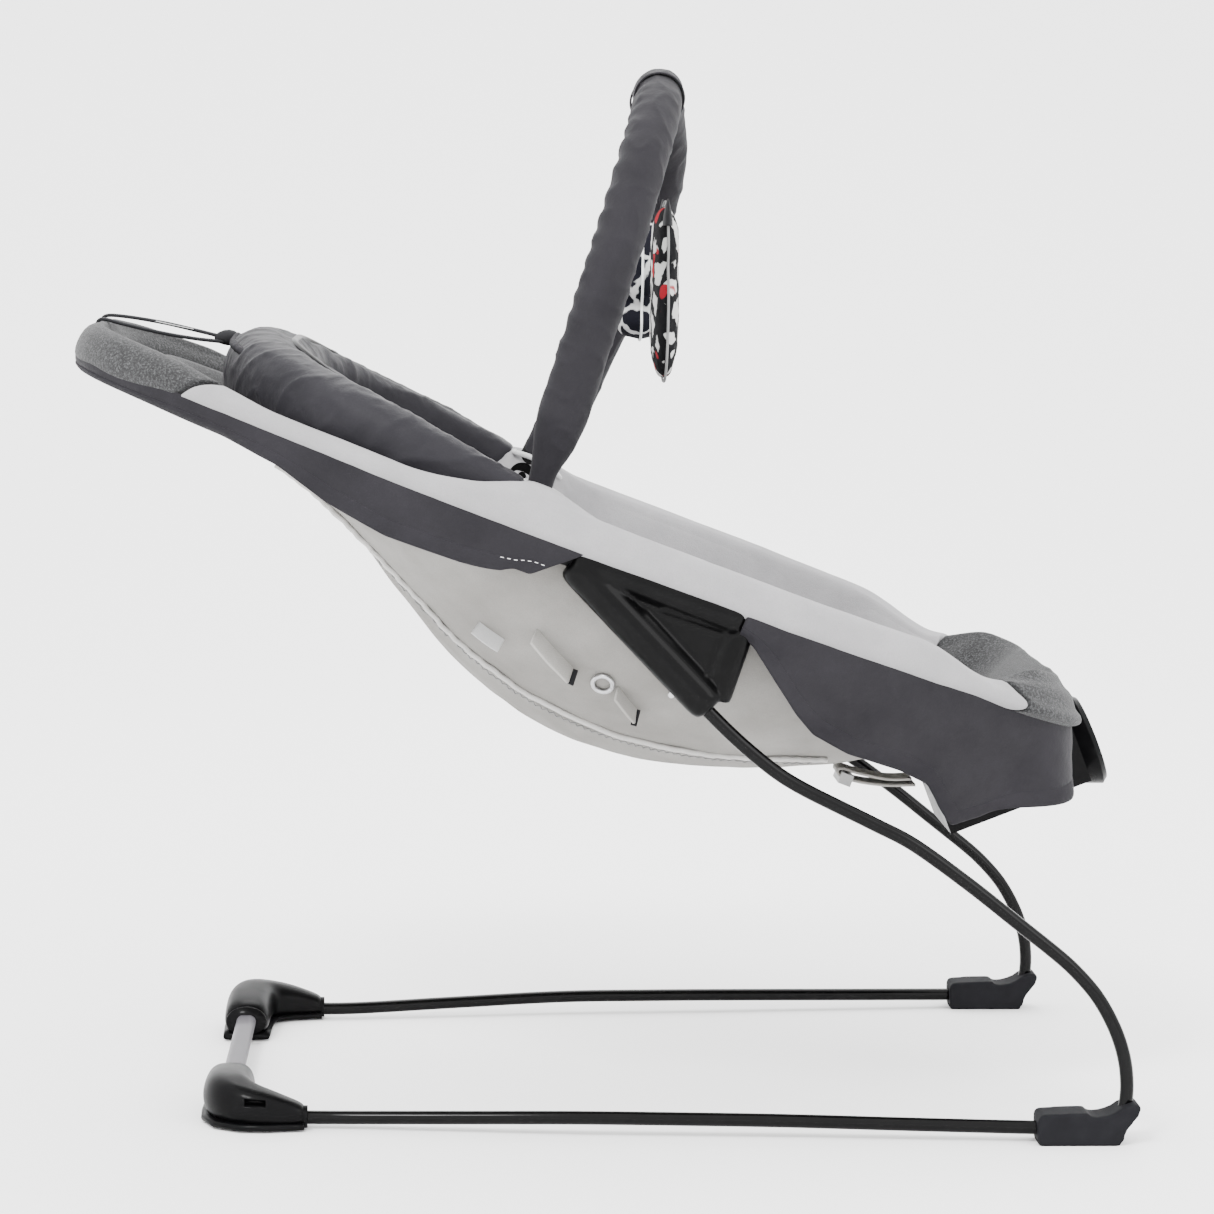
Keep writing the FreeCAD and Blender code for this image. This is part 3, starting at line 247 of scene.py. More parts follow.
def turns(count, closed=False):
    """Angles that part a full turn evenly. closed gives the first one again at the end."""
    return [tau * k / count for k in range(count + closed)]


def oval(across, up, count=24, power=2.0):
    """A closed superellipse, as pairs of across and up."""
    return [(across * bend(cos(a), 2 / power), up * bend(sin(a), 2 / power)) for a in turns(count)]


def heading(line, k):
    """The direction of a line of points at its point k."""
    return (line[min(k + 1, len(line) - 1)] - line[max(k - 1, 0)]).normalized()


def along_ring(u0, u1, step=4.0):
    """Evenly spaced u from u0 to u1."""
    count = max(2, int(abs(u1 - u0) * RING_LENGTH / step))
    return [u0 + (u1 - u0) * k / count for k in range(count + 1)]


def circle(centre, side, other, radius, count):
    """Points round a centre, in the plane of two directions."""
    return [centre + side * radius * cos(a) + other * radius * sin(a) for a in turns(count)]


def tube_along(name, points, radius, count=12):
    """A round tube through points in metres. radius may be a function of the share along it."""
    points = [Vector(p) for p in points]
    side = heading(points, 0).orthogonal().normalized()
    rows = []
    for k, point in enumerate(points):
        ahead = heading(points, k)
        side = (side - ahead * side.dot(ahead)).normalized()
        r = radius(k / (len(points) - 1)) if callable(radius) else radius
        rows.append(circle(point, side, ahead.cross(side), r, count))
    return loft(name, rows)


def arc_lengths(points):
    """The distance along a line of points to each of them."""
    lengths = [0.0]
    for a, b in zip(points, points[1:]):
        lengths.append(lengths[-1] + (b - a).length)
    return lengths


def smooth_line(points, count=60):
    """Evenly spaced points on a soft curve through the given ones."""
    points = [Vector(p) for p in points]
    padded = [points[0] * 2 - points[1]] + points + [points[-1] * 2 - points[-2]]
    found = []
    for a, b, c, d in zip(padded, padded[1:], padded[2:], padded[3:]):
        for k in range(12):
            x = k / 12
            found.append(0.5 * ((2 * b) + (c - a) * x + (2 * a - 5 * b + 4 * c - d) * x * x
                                + (3 * b - a - 3 * c + d) * x ** 3))
    found.append(points[-1])
    lengths = arc_lengths(found)
    even = np.linspace(0, lengths[-1], count)
    return [Vector(p) for p in zip(*(np.interp(even, lengths, [p[k] for p in found]) for k in range(3)))]


def read_points(mesh, what="co"):
    values = np.empty(len(mesh.vertices) * 3)
    mesh.vertices.foreach_get(what, values)
    return values.reshape(-1, 3)


def write_points(mesh, places):
    mesh.vertices.foreach_set("co", places.ravel())
    mesh.update()


def plump(obj, pressure, voxel, cap, frames=20, stiff=15.0):
    """Fills a piece like a cushion: cloth with pressure, each point held to a short way."""
    modify(obj, "REMESH", mode="VOXEL", voxel_size=voxel)
    apply_all(obj)
    start = read_points(obj.data)
    cloth = modify(obj, "CLOTH")
    cloth.settings.use_pressure = True
    cloth.settings.uniform_pressure_force = pressure
    cloth.settings.tension_stiffness = stiff
    cloth.settings.compression_stiffness = stiff
    cloth.settings.bending_stiffness = 0.5
    cloth.settings.effector_weights.gravity = 0
    cloth.settings.quality = 5
    cloth.point_cache.frame_start = 1
    cloth.point_cache.frame_end = frames
    for number in range(1, frames + 1):
        bpy.context.scene.frame_set(number)
    apply_all(obj)
    bpy.context.scene.frame_set(1)
    move = read_points(obj.data) - start
    far = np.linalg.norm(move, axis=1, keepdims=True)
    write_points(obj.data, start + move * np.minimum(1, cap / np.maximum(far, 1e-9)))
    return subdivide(obj)


# ---------------------------------------------------------------- materials

def grey(level):
    return (level, level, level)


def scaled(colour, factor, lift=0.0):
    """A colour made lighter or darker, kept below white."""
    return tuple(min(1.0, c * factor + lift) for c in colour)


class Look:
    """A node material under construction. Its scales are in cycles per millimetre."""

    def __init__(self, name):
        self.material = bpy.data.materials.new(name)
        self.material.use_nodes = True
        self.nodes = self.material.node_tree.nodes
        self.links = self.material.node_tree.links
        self.shader = self.nodes["Principled BSDF"]

    def feed(self, socket, value):
        """Gives a socket a number, a colour or another node's output."""
        if isinstance(value, bpy.types.NodeSocket):
            self.links.new(value, socket)
        elif isinstance(value, tuple):
            socket.default_value = (*value, 1)
        else:
            socket.default_value = value

    def node(self, kind, **inputs):
        made = self.nodes.new("ShaderNode" + kind)
        for name, value in inputs.items():
            self.feed(made.inputs[name], value)
        return made

    def place(self, scale):
        """Object coordinates in millimetres, times a scale."""
        mapping = self.node("Mapping", Vector=self.node("TexCoord").outputs["Object"])
        mapping.inputs["Scale"].default_value = grey(1000 * scale)
        return mapping.outputs["Vector"]

    def noise(self, scale, detail=3.0, rough=0.55):
        vector = self.place(scale)
        return self.node("TexNoise", Scale=1.0, Detail=detail, Roughness=rough, Vector=vector).outputs["Fac"]

    def ramp(self, value, *stops):
        """Turns a value into a colour: stops are pairs of value and colour."""
        made = self.node("ValToRGB", Fac=value)
        while len(made.color_ramp.elements) < len(stops):
            made.color_ramp.elements.new(0.5)
        for element, (place, colour) in zip(made.color_ramp.elements, stops):
            element.position = place
            element.color = (*colour, 1)
        return made.outputs["Color"]

    def combine(self, operation, a, b):
        made = self.node("Math")
        made.operation = operation
        self.feed(made.inputs[0], a)
        self.feed(made.inputs[1], b)
        return made.outputs[0]

    def mix(self, factor, a, b, blend="MIX"):
        made = self.node("Mix")
        made.data_type = "RGBA"
        made.blend_type = blend
        colours = [s for s in made.inputs if s.type == "RGBA"]
        for socket, value in zip([made.inputs[0]] + colours, (factor, a, b)):
            self.feed(socket, value)
        return [s for s in made.outputs if s.type == "RGBA"][0]

    def shade(self, base, value, *stops):
        """Multiplies a colour by a ramp of greys."""
        return self.mix(1.0, base, self.ramp(value, *((at, grey(level)) for at, level in stops)), "MULTIPLY")

    def weave(self, pitch):
        """Threads that cross: rows of waves on the three axes."""
        vector = self.place(1.0)
        rows = []
        for direction in "XYZ":
            made = self.node("TexWave", Scale=0.314 / pitch, Distortion=0.4, Detail=1.0, Vector=vector)
            made.wave_type = "BANDS"
            made.bands_direction = direction
            rows.append(made.outputs["Fac"])
        return self.combine("ADD", self.combine("MULTIPLY", rows[0], rows[1]), rows[2])

    def bumps(self, *heights):
        """Bumps one after the other: pairs of height and depth in millimetres."""
        normal = None
        for height, depth in heights:
            made = self.node("Bump", Strength=1.0, Distance=depth * MM, Height=height)
            if normal is not None:
                self.links.new(normal, made.inputs["Normal"])
            normal = made.outputs["Normal"]
        self.links.new(normal, self.shader.inputs["Normal"])

    def finish(self, colour, rough, specular=0.5, sheen=(0.0, 0.5), coat=(0.0, 0.03), metallic=0.0):
        """Sets the shader's own sockets. sheen and coat are pairs of weight and roughness."""
        values = {"Base Color": colour, "Roughness": rough, "Specular IOR Level": specular,
                  "Sheen Weight": sheen[0], "Sheen Roughness": sheen[1],
                  "Coat Weight": coat[0], "Coat Roughness": coat[1], "Metallic": metallic}
        for name, value in values.items():
            self.feed(self.shader.inputs[name], value)
        return self.material


def woven(name, colour, light, pitch=0.45, rough=0.72, sheen=0.25):
    """Plain-woven polyester with a faint sheen and creases."""
    look = Look(name)
    weave, fine = look.weave(pitch), look.noise(1.6, 2.0)
    base = look.ramp(look.noise(0.02, 4.0), (0.3, colour), (0.75, light))
    tint = look.shade(base, fine, (0.25, 0.80), (0.75, 1.0))
    threads = look.ramp(weave, (0.15, scaled(colour, 0.72)), (0.9, light))
    look.bumps((look.noise(0.05, 5.0, 0.6), 1.1), (weave, 0.02), (fine, 0.05))
    return look.finish(look.mix(0.10, tint, threads), rough, 0.06, sheen=(sheen, 0.45))


def heather(name, dark, mid, light):
    """Melange jersey: light and dark fibres mixed, with a soft nap."""
    look = Look(name)
    speck = look.noise(0.62, 4.0, 0.75)
    base = look.ramp(speck, (0.34, dark), (0.5, mid), (0.66, light))
    clouded = look.shade(base, look.noise(0.06), (0.3, 0.85), (0.7, 1.0))
    look.bumps((speck, 0.35), (look.noise(1.9), 0.25))
    return look.finish(clouded, 0.95, 0.15, sheen=(0.12, 0.6))


def plush(name, colour, shade):
    """Short soft pile with faint brushed clouds."""
    look = Look(name)
    pile = look.noise(1.1, 4.0, 0.7)
    base = look.ramp(look.noise(0.03, 5.0, 0.6), (0.3, shade), (0.7, colour))
    tips = look.shade(base, pile, (0.25, 0.86), (0.7, 1.0))
    look.bumps((look.noise(0.12), 0.5), (pile, 0.4))
    return look.finish(tips, 1.0, 0.1, sheen=(0.1, 0.7))


def moulded(name, colour, rough, grain, depth, coat=0.0):
    """Moulded plastic or rubber: fine grain, and slight wear that changes its gloss."""
    look = Look(name)
    wear = look.noise(0.05, 5.0, 0.6)
    base = look.ramp(wear, (0.35, colour), (0.8, scaled(colour, 1.35, 0.0008)))
    gloss = look.ramp(wear, (0.3, grey(rough)), (0.8, grey(rough + 0.1)))
    look.bumps((look.noise(grain), depth))
    return look.finish(base, gloss, 0.03, coat=(coat, 0.12))


def painted(name, colour, rough, coat=0.4):
    """Powder-coated or lacquered steel with orange-peel and faint scuffs."""
    look = Look(name)
    scuff = look.noise(0.08, 6.0, 0.7)
    base = look.ramp(scuff, (0.45, colour), (0.85, scaled(colour, 1.5, 0.0008)))
    gloss = look.ramp(scuff, (0.4, grey(rough)), (0.85, grey(rough + 0.14)))
    look.bumps((look.noise(0.35, 2.0), 0.04))
    return look.finish(base, gloss, 0.04, coat=(coat, 0.08))


def bare_metal(name, colour, rough):
    """Zinc-plated steel with faint streaks."""
    look = Look(name)
    streak = look.noise(0.5, 5.0, 0.7)
    base = look.ramp(streak, (0.3, scaled(colour, 0.8)), (0.8, colour))
    gloss = look.ramp(streak, (0.3, grey(rough)), (0.8, grey(rough + 0.15)))
    look.bumps((streak, 0.02))
    return look.finish(base, gloss, metallic=1.0)


def printed(name, ground, marks, accent, scale, cut):
    """Cotton with a printed pattern: bent lines on a ground, with a few patches of an accent."""
    look = Look(name)
    vector = look.place(scale)
    warped = look.node("TexNoise", Scale=1.4, Vector=vector).outputs["Color"]
    cells = look.node("TexVoronoi", Scale=1.0, Vector=look.mix(0.45, vector, warped))
    cells.feature = "DISTANCE_TO_EDGE"
    lines = look.ramp(cells.outputs["Distance"], (cut, marks), (cut + 0.03, ground))
    spots = look.ramp(look.noise(scale * 0.55, 1.0), (0.67, grey(0.0)), (0.69, grey(1.0)))
    look.bumps((look.noise(0.12), 0.5), (look.weave(0.4), 0.05))
    return look.finish(look.mix(spots, lines, accent), 0.85, 0.05)


CHARCOAL_LIGHT = (0.0205, 0.0193, 0.0225)
MATERIALS = {
    "charcoal": woven("charcoal_cloth", (0.0125, 0.0118, 0.014), CHARCOAL_LIGHT, 0.45, 0.72, 0.05),
    "charcoal_shiny": woven("charcoal_canopy", (0.0135, 0.013, 0.0155), (0.022, 0.021, 0.0245),
                            0.4, 0.46, 0.03),
    "charcoal_hem": woven("charcoal_binding", (0.0130, 0.0123, 0.0146), CHARCOAL_LIGHT, 0.7, 0.72, 0.0),
    "melange": heather("melange_jersey", (0.0045, 0.0046, 0.0049), (0.0175, 0.0177, 0.0186),
                       (0.066, 0.067, 0.069)),
    "stripes": printed("striped_cotton", (0.50, 0.50, 0.49), (0.007, 0.007, 0.008), (0.26, 0.012, 0.02),
                       0.085, 0.16),
    "scribbles": printed("dark_printed_cotton", (0.008, 0.008, 0.012), grey(0.50), (0.28, 0.012, 0.025),
                         0.062, 0.045),
    "plush": plush("light_plush", (0.30, 0.295, 0.302), (0.255, 0.251, 0.258)),
    "white": plush("white_plush", grey(0.50), grey(0.44)),
    "offwhite": woven("offwhite_cloth", (0.185, 0.178, 0.166), (0.26, 0.253, 0.24), 0.5, 0.85, 0.02),
    "piping": woven("offwhite_piping", (0.42, 0.41, 0.395), (0.52, 0.51, 0.495), 0.8, 0.9, 0.05),
    "thread": moulded("grey_thread", grey(0.20), 0.8, 3.0, 0.02),
    "white_thread": moulded("white_thread", grey(0.75), 0.8, 3.0, 0.02),
    "webbing": woven("grey_webbing", (0.10, 0.10, 0.104), (0.16, 0.16, 0.164), 1.1, 0.8, 0.05),
    "light_webbing": woven("light_webbing", (0.26, 0.25, 0.235), (0.38, 0.37, 0.35), 1.1, 0.85, 0.05),
    "elastic": woven("black_elastic", (0.010, 0.010, 0.011), (0.024, 0.024, 0.026), 0.9, 0.7, 0.05),
    "wire": painted("gloss_black_wire", (0.0012, 0.0012, 0.0013), 0.12, 0.15),
    "tube": painted("satin_black_tube", (0.002, 0.002, 0.0023), 0.34, 0.0),
    "crossbar": painted("grey_crossbar", (0.085, 0.082, 0.09), 0.36, 0.1),
    "bracket": moulded("black_bracket", (0.0012, 0.0012, 0.0013), 0.30, 0.8, 0.03, 0.10),
    "housing": moulded("black_housing", (0.0018, 0.0018, 0.0020), 0.34, 1.2, 0.05, 0.06),
    "rubber": moulded("grey_rubber", (0.0085, 0.0085, 0.0098), 0.6, 1.4, 0.06),
    "dial": moulded("black_dial", (0.0025, 0.0025, 0.0028), 0.25, 0.9, 0.02, 0.03),
    "slide": moulded("clear_grey_slide", grey(0.30), 0.3, 0.8, 0.02),
    "key": moulded("grey_key", (0.05, 0.05, 0.053), 0.45, 0.9, 0.03),
    "steel": bare_metal("zinc_steel", (0.55, 0.55, 0.56), 0.32),
    "board": moulded("green_board", (0.012, 0.09, 0.035), 0.4, 0.6, 0.02),
    "cell": moulded("plain_cell", (0.10, 0.11, 0.13), 0.3, 0.6, 0.01),
}


def paint(obj, key):
    obj.data.materials.clear()
    obj.data.materials.append(MATERIALS[key])
    return obj


def dress(obj, key, slot, body, *nodes):
    """Paints a finished piece, hides the CAD nodes that it stands for, and lets it ride a body.
    Its slot is not used. A piece that is blended between two bodies has no body here."""
    paint(obj, key)
    if nodes:
        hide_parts(*nodes)
    if body:
        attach(obj, body)
    return obj


def pair(*names):
    """The right and left piece of each name."""
    return [f"{name}_{side}" for name in names for side in ("right", "left")]


CARRIED = {
    "wire": pair("floor_wire", "upright_wire"),
    "tube": ["seat_tube_head", "seat_tube_foot"],
    "crossbar": ["base_crossbar"],
    "bracket": pair("bracket_outer", "bracket_inner", "hub") + ["toy_bar_plugs", "canopy_caps", "hub_pins",
                                                                "canopy_hoop"],
    "housing": pair("corner_cover", "corner_base") + ["unit_case", "battery_door", "buckle_body"],
    "rubber": pair("rear_foot") + ["corner_pads"],
    "dial": ["dial"],
    "key": ["power_button", "music_button", "buckle_button"],
    "steel": ["bracket_screws", "door_screw", "toy_bar_rod", "vibration_motor", "eccentric_weight"],
    "board": ["control_board"],
    "cell": ["battery_cells"],
}


def paint_carried():
    """Gives every piece that comes from the CAD its material."""
    for key, names in CARRIED.items():
        for name in names:
            paint(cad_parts[name], key)


# ---------------------------------------------------------------- seat fabric

WHITE_HEAD, WHITE_FOOT = -296.0, 286.0
U_HEAD, U_FOOT = ring_u(WHITE_HEAD), ring_u(WHITE_FOOT)


# The padded edge's height over the rim plane beside the canopy, and its rise beside the seat.
CREST_LOW, CREST_RISE = 16.0, 11.0
# How far the liner lies above the sling's underside.
LINER_GAP = 12.0
# Width of the liner's ledge over the tube, and how much wider it is round the hubs.
LEDGE, POUCH = 13.0, 46.0
# Sewn channels across the back and the seat, along the slope.
CHANNELS = (-185, -120, -55, 40, 105)


def crest(s):
    """Height of the padded edge's top: low beside the folded canopy, higher beside the seat."""
    return CREST_LOW + CREST_RISE * smooth((s + 150) / 90) * (1 - smooth((s - 205) / 60))


def spine(s):
    """Where the seat's surfaces from both sides meet, for a point of the ring at s."""
    return min(205.0, max(-235.0, s))


def basin(u, share, top, depth_of, power):
    """A point of a bowl hung in the ring: share runs from 0 at the ring to 1 on the middle line."""
    s, y, _, _ = ring_at(u)
    middle = spine(s)
    s2, y2 = s + (middle - s) * share, y * (1 - share)
    fall = (1 - (1 - share) ** power) ** (1 / power)
    return s2, y2, top - (top + depth_of(s2)) * fall


def seam(s):
    """Height of the seam between the padded edge and the outer fabric."""
    return 3.0 - 5.5 * smooth((-s - 285) / 50)


def warp(u, level):
    """Slants the cuts between the coloured stretches. level is 0 at the seam and 1 at the crest."""
    fold = u % 2.0
    v = 2 - fold if fold > 1 else fold
    from_head = (v - U_HEAD) * RING_LENGTH
    from_foot = (v - U_FOOT) * RING_LENGTH
    shift = 24 * level * bump(from_head, 0, 62) - 15 * (2 * level - 1) ** 2 * bump(from_foot, 0, 45)
    shift /= RING_LENGTH
    return u - shift if fold > 1 else u + shift


def liner_depth(s):
    return sling_depth(s) - LINER_GAP


def liner_point(u, share):
    """The liner's upper surface: a ledge over the tube, and then the bowl."""
    ring_s, ring_y, _, _ = ring_at(u)
    s, y, _ = basin(u, share, crest(ring_s) - 4, liner_depth, 2.2)
    whole = hypot(spine(ring_s) - ring_s, ring_y)
    reach = whole * share
    pouch = bump(ring_s, HUB_S, 36)
    ledge = LEDGE + POUCH * pouch
    inner = max(0.0, (reach - ledge) / (whole - ledge))
    fall = (1 - (1 - inner) ** 2.0) ** 0.5
    top = crest(ring_s) - 0.5 - 3.5 * smooth(reach / LEDGE) * (1 - pouch) + 7.0 * pouch * smooth(reach / 9)
    n = top - (top + liner_depth(s)) * fall
    head = smooth((-ring_s - 225) / 60)
    foot = smooth((ring_s - 262) / 45)
    n += head * (5 * bump(reach, 0, 11) - 11 * bump(reach, 24, 8) + 12 * bump(reach, 48, 15))
    n += foot * (23 * bump(reach, 18, 17) - 9 * bump(reach, 50, 9) + 8 * bump(reach, 70, 13))
    if reach > 60:
        for channel in CHANNELS:
            n -= 2.6 * bump(s, channel, 5.5) * smooth((reach - 60) / 30)
    n += 1.1 * wave((s, y, 0), 42, 3.0)
    return s, y, n


def rim_section(s):
    """The padded edge in section, from the outer seam over the crest: offset and height."""
    head = smooth((-s - 250) / 60)
    foot = smooth((s - 255) / 35)
    low, high = seam(s), crest(s)
    side = [(9.4, low - 1.5), (12.4, low + 1.5), (13.6, low + 6.0), (11.5, high * 0.77), (6.5, high - 1.5),
            (0.0, high)]
    tip = [(9.4, low - 1.5), (12.0, low + 1.0), (13.2, low + 8.0), (12.0, 16.0), (7.5, 21.5), (0.0, 24.5)]
    lap = [(9.6, low - 2.0), (15.0, low + 0.5), (18.0, 6.5), (16.0, 11.5), (10.0, 13.0), (5.5, 22.5)]
    return [tuple(a[k] + (b[k] - a[k]) * head + (c[k] - a[k]) * foot for k in (0, 1))
            for a, b, c in zip(side, tip, lap)]


def outset(place, out, n):
    """A point pushed outwards from the ring. place is what ring_at gives."""
    s, y, ns, ny = place
    return s + ns * out, y + ny * out, n


def rim_zone(name, us, thick=3.0):
    """A stretch of the liner with its padded edge, as a closed shell."""
    rows = []
    for u in us:
        top, under = [], []
        for index in range(6):
            place = ring_at(warp(u, index / 5))
            o, n = rim_section(place[0])[index]
            point = (place[0], place[1], n)
            wobble = 0.6 * wave(point, 26, 1.0) + 0.35 * wave(point, 9, 4.0)
            top.append(outset(place, o + wobble, n + wobble * 0.5))
            angle = radians(12 * min(index, 1) + 78 * index / 5)
            rise = max(seam(place[0]) - 2.5, 0) * (index == 0)
            under.append(outset(place, 8.8 * cos(angle), rise + 9.4 * sin(angle)))
        at = warp(u, 1.0)
        edge = ring_at(at)
        for share in SHARES:
            s, y, n = liner_point(at, share)
            top.append((s, y, n))
            reach = hypot(s - edge[0], y - edge[1])
            under.append((s, y, n - thick if reach > 16 else max(n - thick, 9.0)))
        rows.append([rim(*p) for p in top + under[::-1]])
    return loft(name, rows)


# Where the liner's rows of points lie between the ring and its middle line.
SHARES = [0.012, 0.035, 0.06, 0.075, 0.095, 0.12, 0.16, 0.21, 0.27, 0.34, 0.42, 0.51, 0.61, 0.72, 0.84, 1.0]


def seat_liner():
    """The upper surface: white wings at the sides, melange at the head and at the feet."""
    zones = (("wing_cover_right", "wing_right", U_HEAD, U_FOOT, "plush", "fabric_light"),
             ("wing_cover_left", "wing_left", 2 - U_FOOT, 2 - U_HEAD, "plush", "fabric_light"),
             ("head_pad", "head_roll", -U_HEAD, U_HEAD, "melange", "fabric_melange"),
             ("foot_pad", "foot_roll", U_FOOT, 2 - U_FOOT, "melange", "fabric_melange"))
    for name, node, start, end, key, slot in zones:
        piece = subdivide(rim_zone(name, along_ring(start, end)))
        dress(piece, key, slot, "seat", node)


# The sling hangs from below the tube and a little inside it, and is rounded by a power.
SLING_TOP, SLING_INSET, SLING_POWER = -7.0, 9.5, 1.75


def sling_depth(s):
    """Depth of the sling's underside, with the table's corners smoothed away."""
    return sum(table(DEPTH, s + step) for step in (-36, -24, -12, 0, 12, 24, 36)) / 7


def sling():
    """The padded hammock's underside, closed. Its piping and zigzag seams are drawn by underside()."""
    shares = [0.0, 0.015, 0.04, 0.075, 0.12, 0.17, 0.23, 0.30, 0.38, 0.47, 0.57, 0.68, 0.80, 0.92, 1.0]
    rows = []
    for u in along_ring(0.0, 2.0, 6.0)[:-1]:
        _, _, ns, ny = ring_at(u)
        outer, inner = [], []
        for share in shares:
            s, y, n = basin(u, share, SLING_TOP, sling_depth, SLING_POWER)
            n += (1.6 * wave((s, y, n), 36, 7.0) + 0.8 * wave((s, y, n), 14, 2.0)) * smooth(share / 0.2)
            inward = SLING_INSET * (1 - share)
            outer.append((s - ns * inward, y - ny * inward, n))
            inner.append((s - ns * inward, y - ny * inward, n + 4.0))
        rows.append([rim(*p) for p in outer + inner[::-1]])
    cover = subdivide(loft("sling_cover", rows, closed=True))
    dress(cover, "offwhite", "fabric_offwhite", "seat", "sling_back", "sling_seat", "sling_legs")


# Lower edge of the skirts along the slope, over the rim plane.
HEAD_EDGE = [(-400, -9.6), (-307, -9.6), (-262, -10.5), (-221, -14), (-184, -24), (-142, -30), (-94, -28.5),
             (-49, -24), (-33, -20)]
FOOT_EDGE = [(90, -9), (100, -13), (120, -29), (141, -45), (157, -54), (184, -59), (224, -59), (245, -62),
             (262, -76), (274, -84), (290, -73), (305, -59), (320, -46), (336, -31), (400, -31)]


def skirt_point(s, n, low, high, seed, lift=0.0):
    """Outward offset of the hanging fabric at a height n: it folds softly, leans in towards its
    lower edge, and where it is short it wraps round the tube."""
    step = (high - n) / (high - low)
    hang = high - n
    fold = 2.0 * wave((s, n * 1.8, 0), 38, seed) + 1.0 * wave((s, n * 2.2, 9), 14, seed)
    free = 10.2 + 1.2 * sin(pi * min(1.0, step * 1.2)) + fold * smooth(step * 2.5)
    front = smooth((s - 296) / 30)
    free += hang * 0.42 * front - max(0.0, hang - 16) * 0.10 * (1 - front)
    wrapped = sqrt(max(0.5, 10.4 ** 2 - min(n, 0) ** 2))
    short = smooth((low + 14) / 4)
    return free + (wrapped - free) * short + lift


def stitches(name, line, long=2.2, gap=2.2, radius=0.20):
    """Short raised threads along a line of points in metres."""
    lengths = [length / MM for length in arc_lengths(line)]
    made = []
    at = 1.0
    while at + long < lengths[-1]:
        run = [Vector([np.interp(place, lengths, [p[k] for p in line]) for k in range(3)])
               for place in (at, at + long / 2, at + long)]
        made.append(tube_along(name, run, radius * MM, 5))
        at += long + gap
    return joined(name, made)


def skirt(name, us, edge, node, seed, hem_width=11.0, slant=0.0):
    """A hanging outer panel with soft folds, a turned hem and a little thickness. slant pulls
    the panel's lower corners in, and such a panel has a line of stitches near each end."""
    rows, hem_rows, hem_line = [], [], []
    steps = [0.0, 0.05, 0.12, 0.2, 0.3, 0.4, 0.5, 0.6, 0.7, 0.8, 0.88, 0.94, 1.0]
    for u in us:
        start = ring_at(u)[0]
        low, high = table(edge, start), seam(start) + 2.0
        near_end = smooth(1 - min(abs(u - us[0]), abs(u - us[-1])) * RING_LENGTH / 70)
        outer, inner, band = [], [], []
        for step in steps:
            place = ring_at(u - copysign(slant * step * near_end / RING_LENGTH, u))
            n = high + (low - high) * step
            o = skirt_point(place[0], n, low, high, seed)
            outer.append(outset(place, o + 0.8, n))
            inner.append(outset(place, o - 0.5, n))
        rows.append([rim(*p) for p in outer + inner[::-1]])
        width = min(hem_width, (high - low) * 0.4)
        for share in (0.0, 0.25, 0.5, 0.75, 1.0):
            n = low + width * share
            step = (high - n) / (high - low)
            place = ring_at(u - copysign(slant * step * near_end / RING_LENGTH, u))
            o = skirt_point(place[0], n, low, high, seed, 1.1 + 0.7 * sin(pi * share))
            band.append(outset(place, o, n - 0.6 * (share == 0.0)))
        _, _, ns, ny = place
        under = [(s - ns * 2.6, y - ny * 2.6, n) for s, y, n in band[::-1]]
        hem_rows.append([rim(*p) for p in band + under])
        s, y, n = band[-1]
        hem_line.append(rim(s + ns * 0.1, y + ny * 0.1, n - 1.6))
    panel = dress(subdivide(loft(name, rows)), "charcoal", "fabric_dark", "seat", node)
    extra = [dress(subdivide(loft(name + "_hem", hem_rows)), "charcoal_hem", "fabric_dark", "seat")]
    if slant:
        for side, line in (("right", hem_line[-17:-1]), ("left", hem_line[1:17])):
            thread = paint(stitches(f"{name}_stitches_{side}", line), "white_thread")
            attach(thread, "seat")
            extra.append(thread)


# Where along the ring the foot skirts end, on the right.
FOOT_SKIRT_END = 0.944


def skirts():
    head, foot = ring_u(-18.0), ring_u(90.0)
    skirt("head_skirt_cloth", along_ring(-head, head, 3.0), HEAD_EDGE, "head_skirt", 4.0, slant=30.0)
    skirt("foot_skirt_cloth_right", along_ring(foot, FOOT_SKIRT_END, 3.0), FOOT_EDGE,
          "foot_skirt_right", 6.0, 12.0)
    skirt("foot_skirt_cloth_left", along_ring(2 - FOOT_SKIRT_END, 2 - foot, 3.0), FOOT_EDGE,
          "foot_skirt_left", 8.0, 12.0)


# ---------------------------------------------------------------- canopy

def wrinkle(obj, depth, scale, seed=0.0, sharp=3.0):
    """Raises creases on a fabric piece: ridges of noise, in metres, at a scale per axis in mm."""
    obj.data.update()
    normals, places = read_points(obj.data, "normal"), read_points(obj.data)
    for index, place in enumerate(places):
        at = Vector([place[k] / MM / scale[k] + seed for k in range(3)])
        ridge = (1 - min(1.0, 2.2 * abs(noise.noise(at)))) ** sharp
        soft = noise.noise(at * 0.5 + Vector((7, 3, 1)))
        places[index] += normals[index] * depth * (ridge + 0.8 * soft) * MM
    write_points(obj.data, places)


# How far the folded roll reaches back and to the sides from the hubs, and half its angle.
CANOPY_BACK, CANOPY_SIDE, CANOPY_ANGLE = 203, 176, 87


def canopy_share(angle):
    """How far back a point of the roll is: 0 at the hubs and 1 in the middle."""
    return max(0.0, cos(angle)) ** 0.80


def canopy_line(angle):
    """Middle of the folded canopy's roll, from the right hub over the back to the left hub."""
    share = canopy_share(angle)
    return HUB_S + 8 - CANOPY_BACK * share, CANOPY_SIDE * bend(sin(angle), 0.74), 20 + 14 * share


def canopy_section(angle):
    """Half width and half height of the roll."""
    root = canopy_share(angle) ** 0.5
    return 5 + 24 * root, 6 + 18 * root


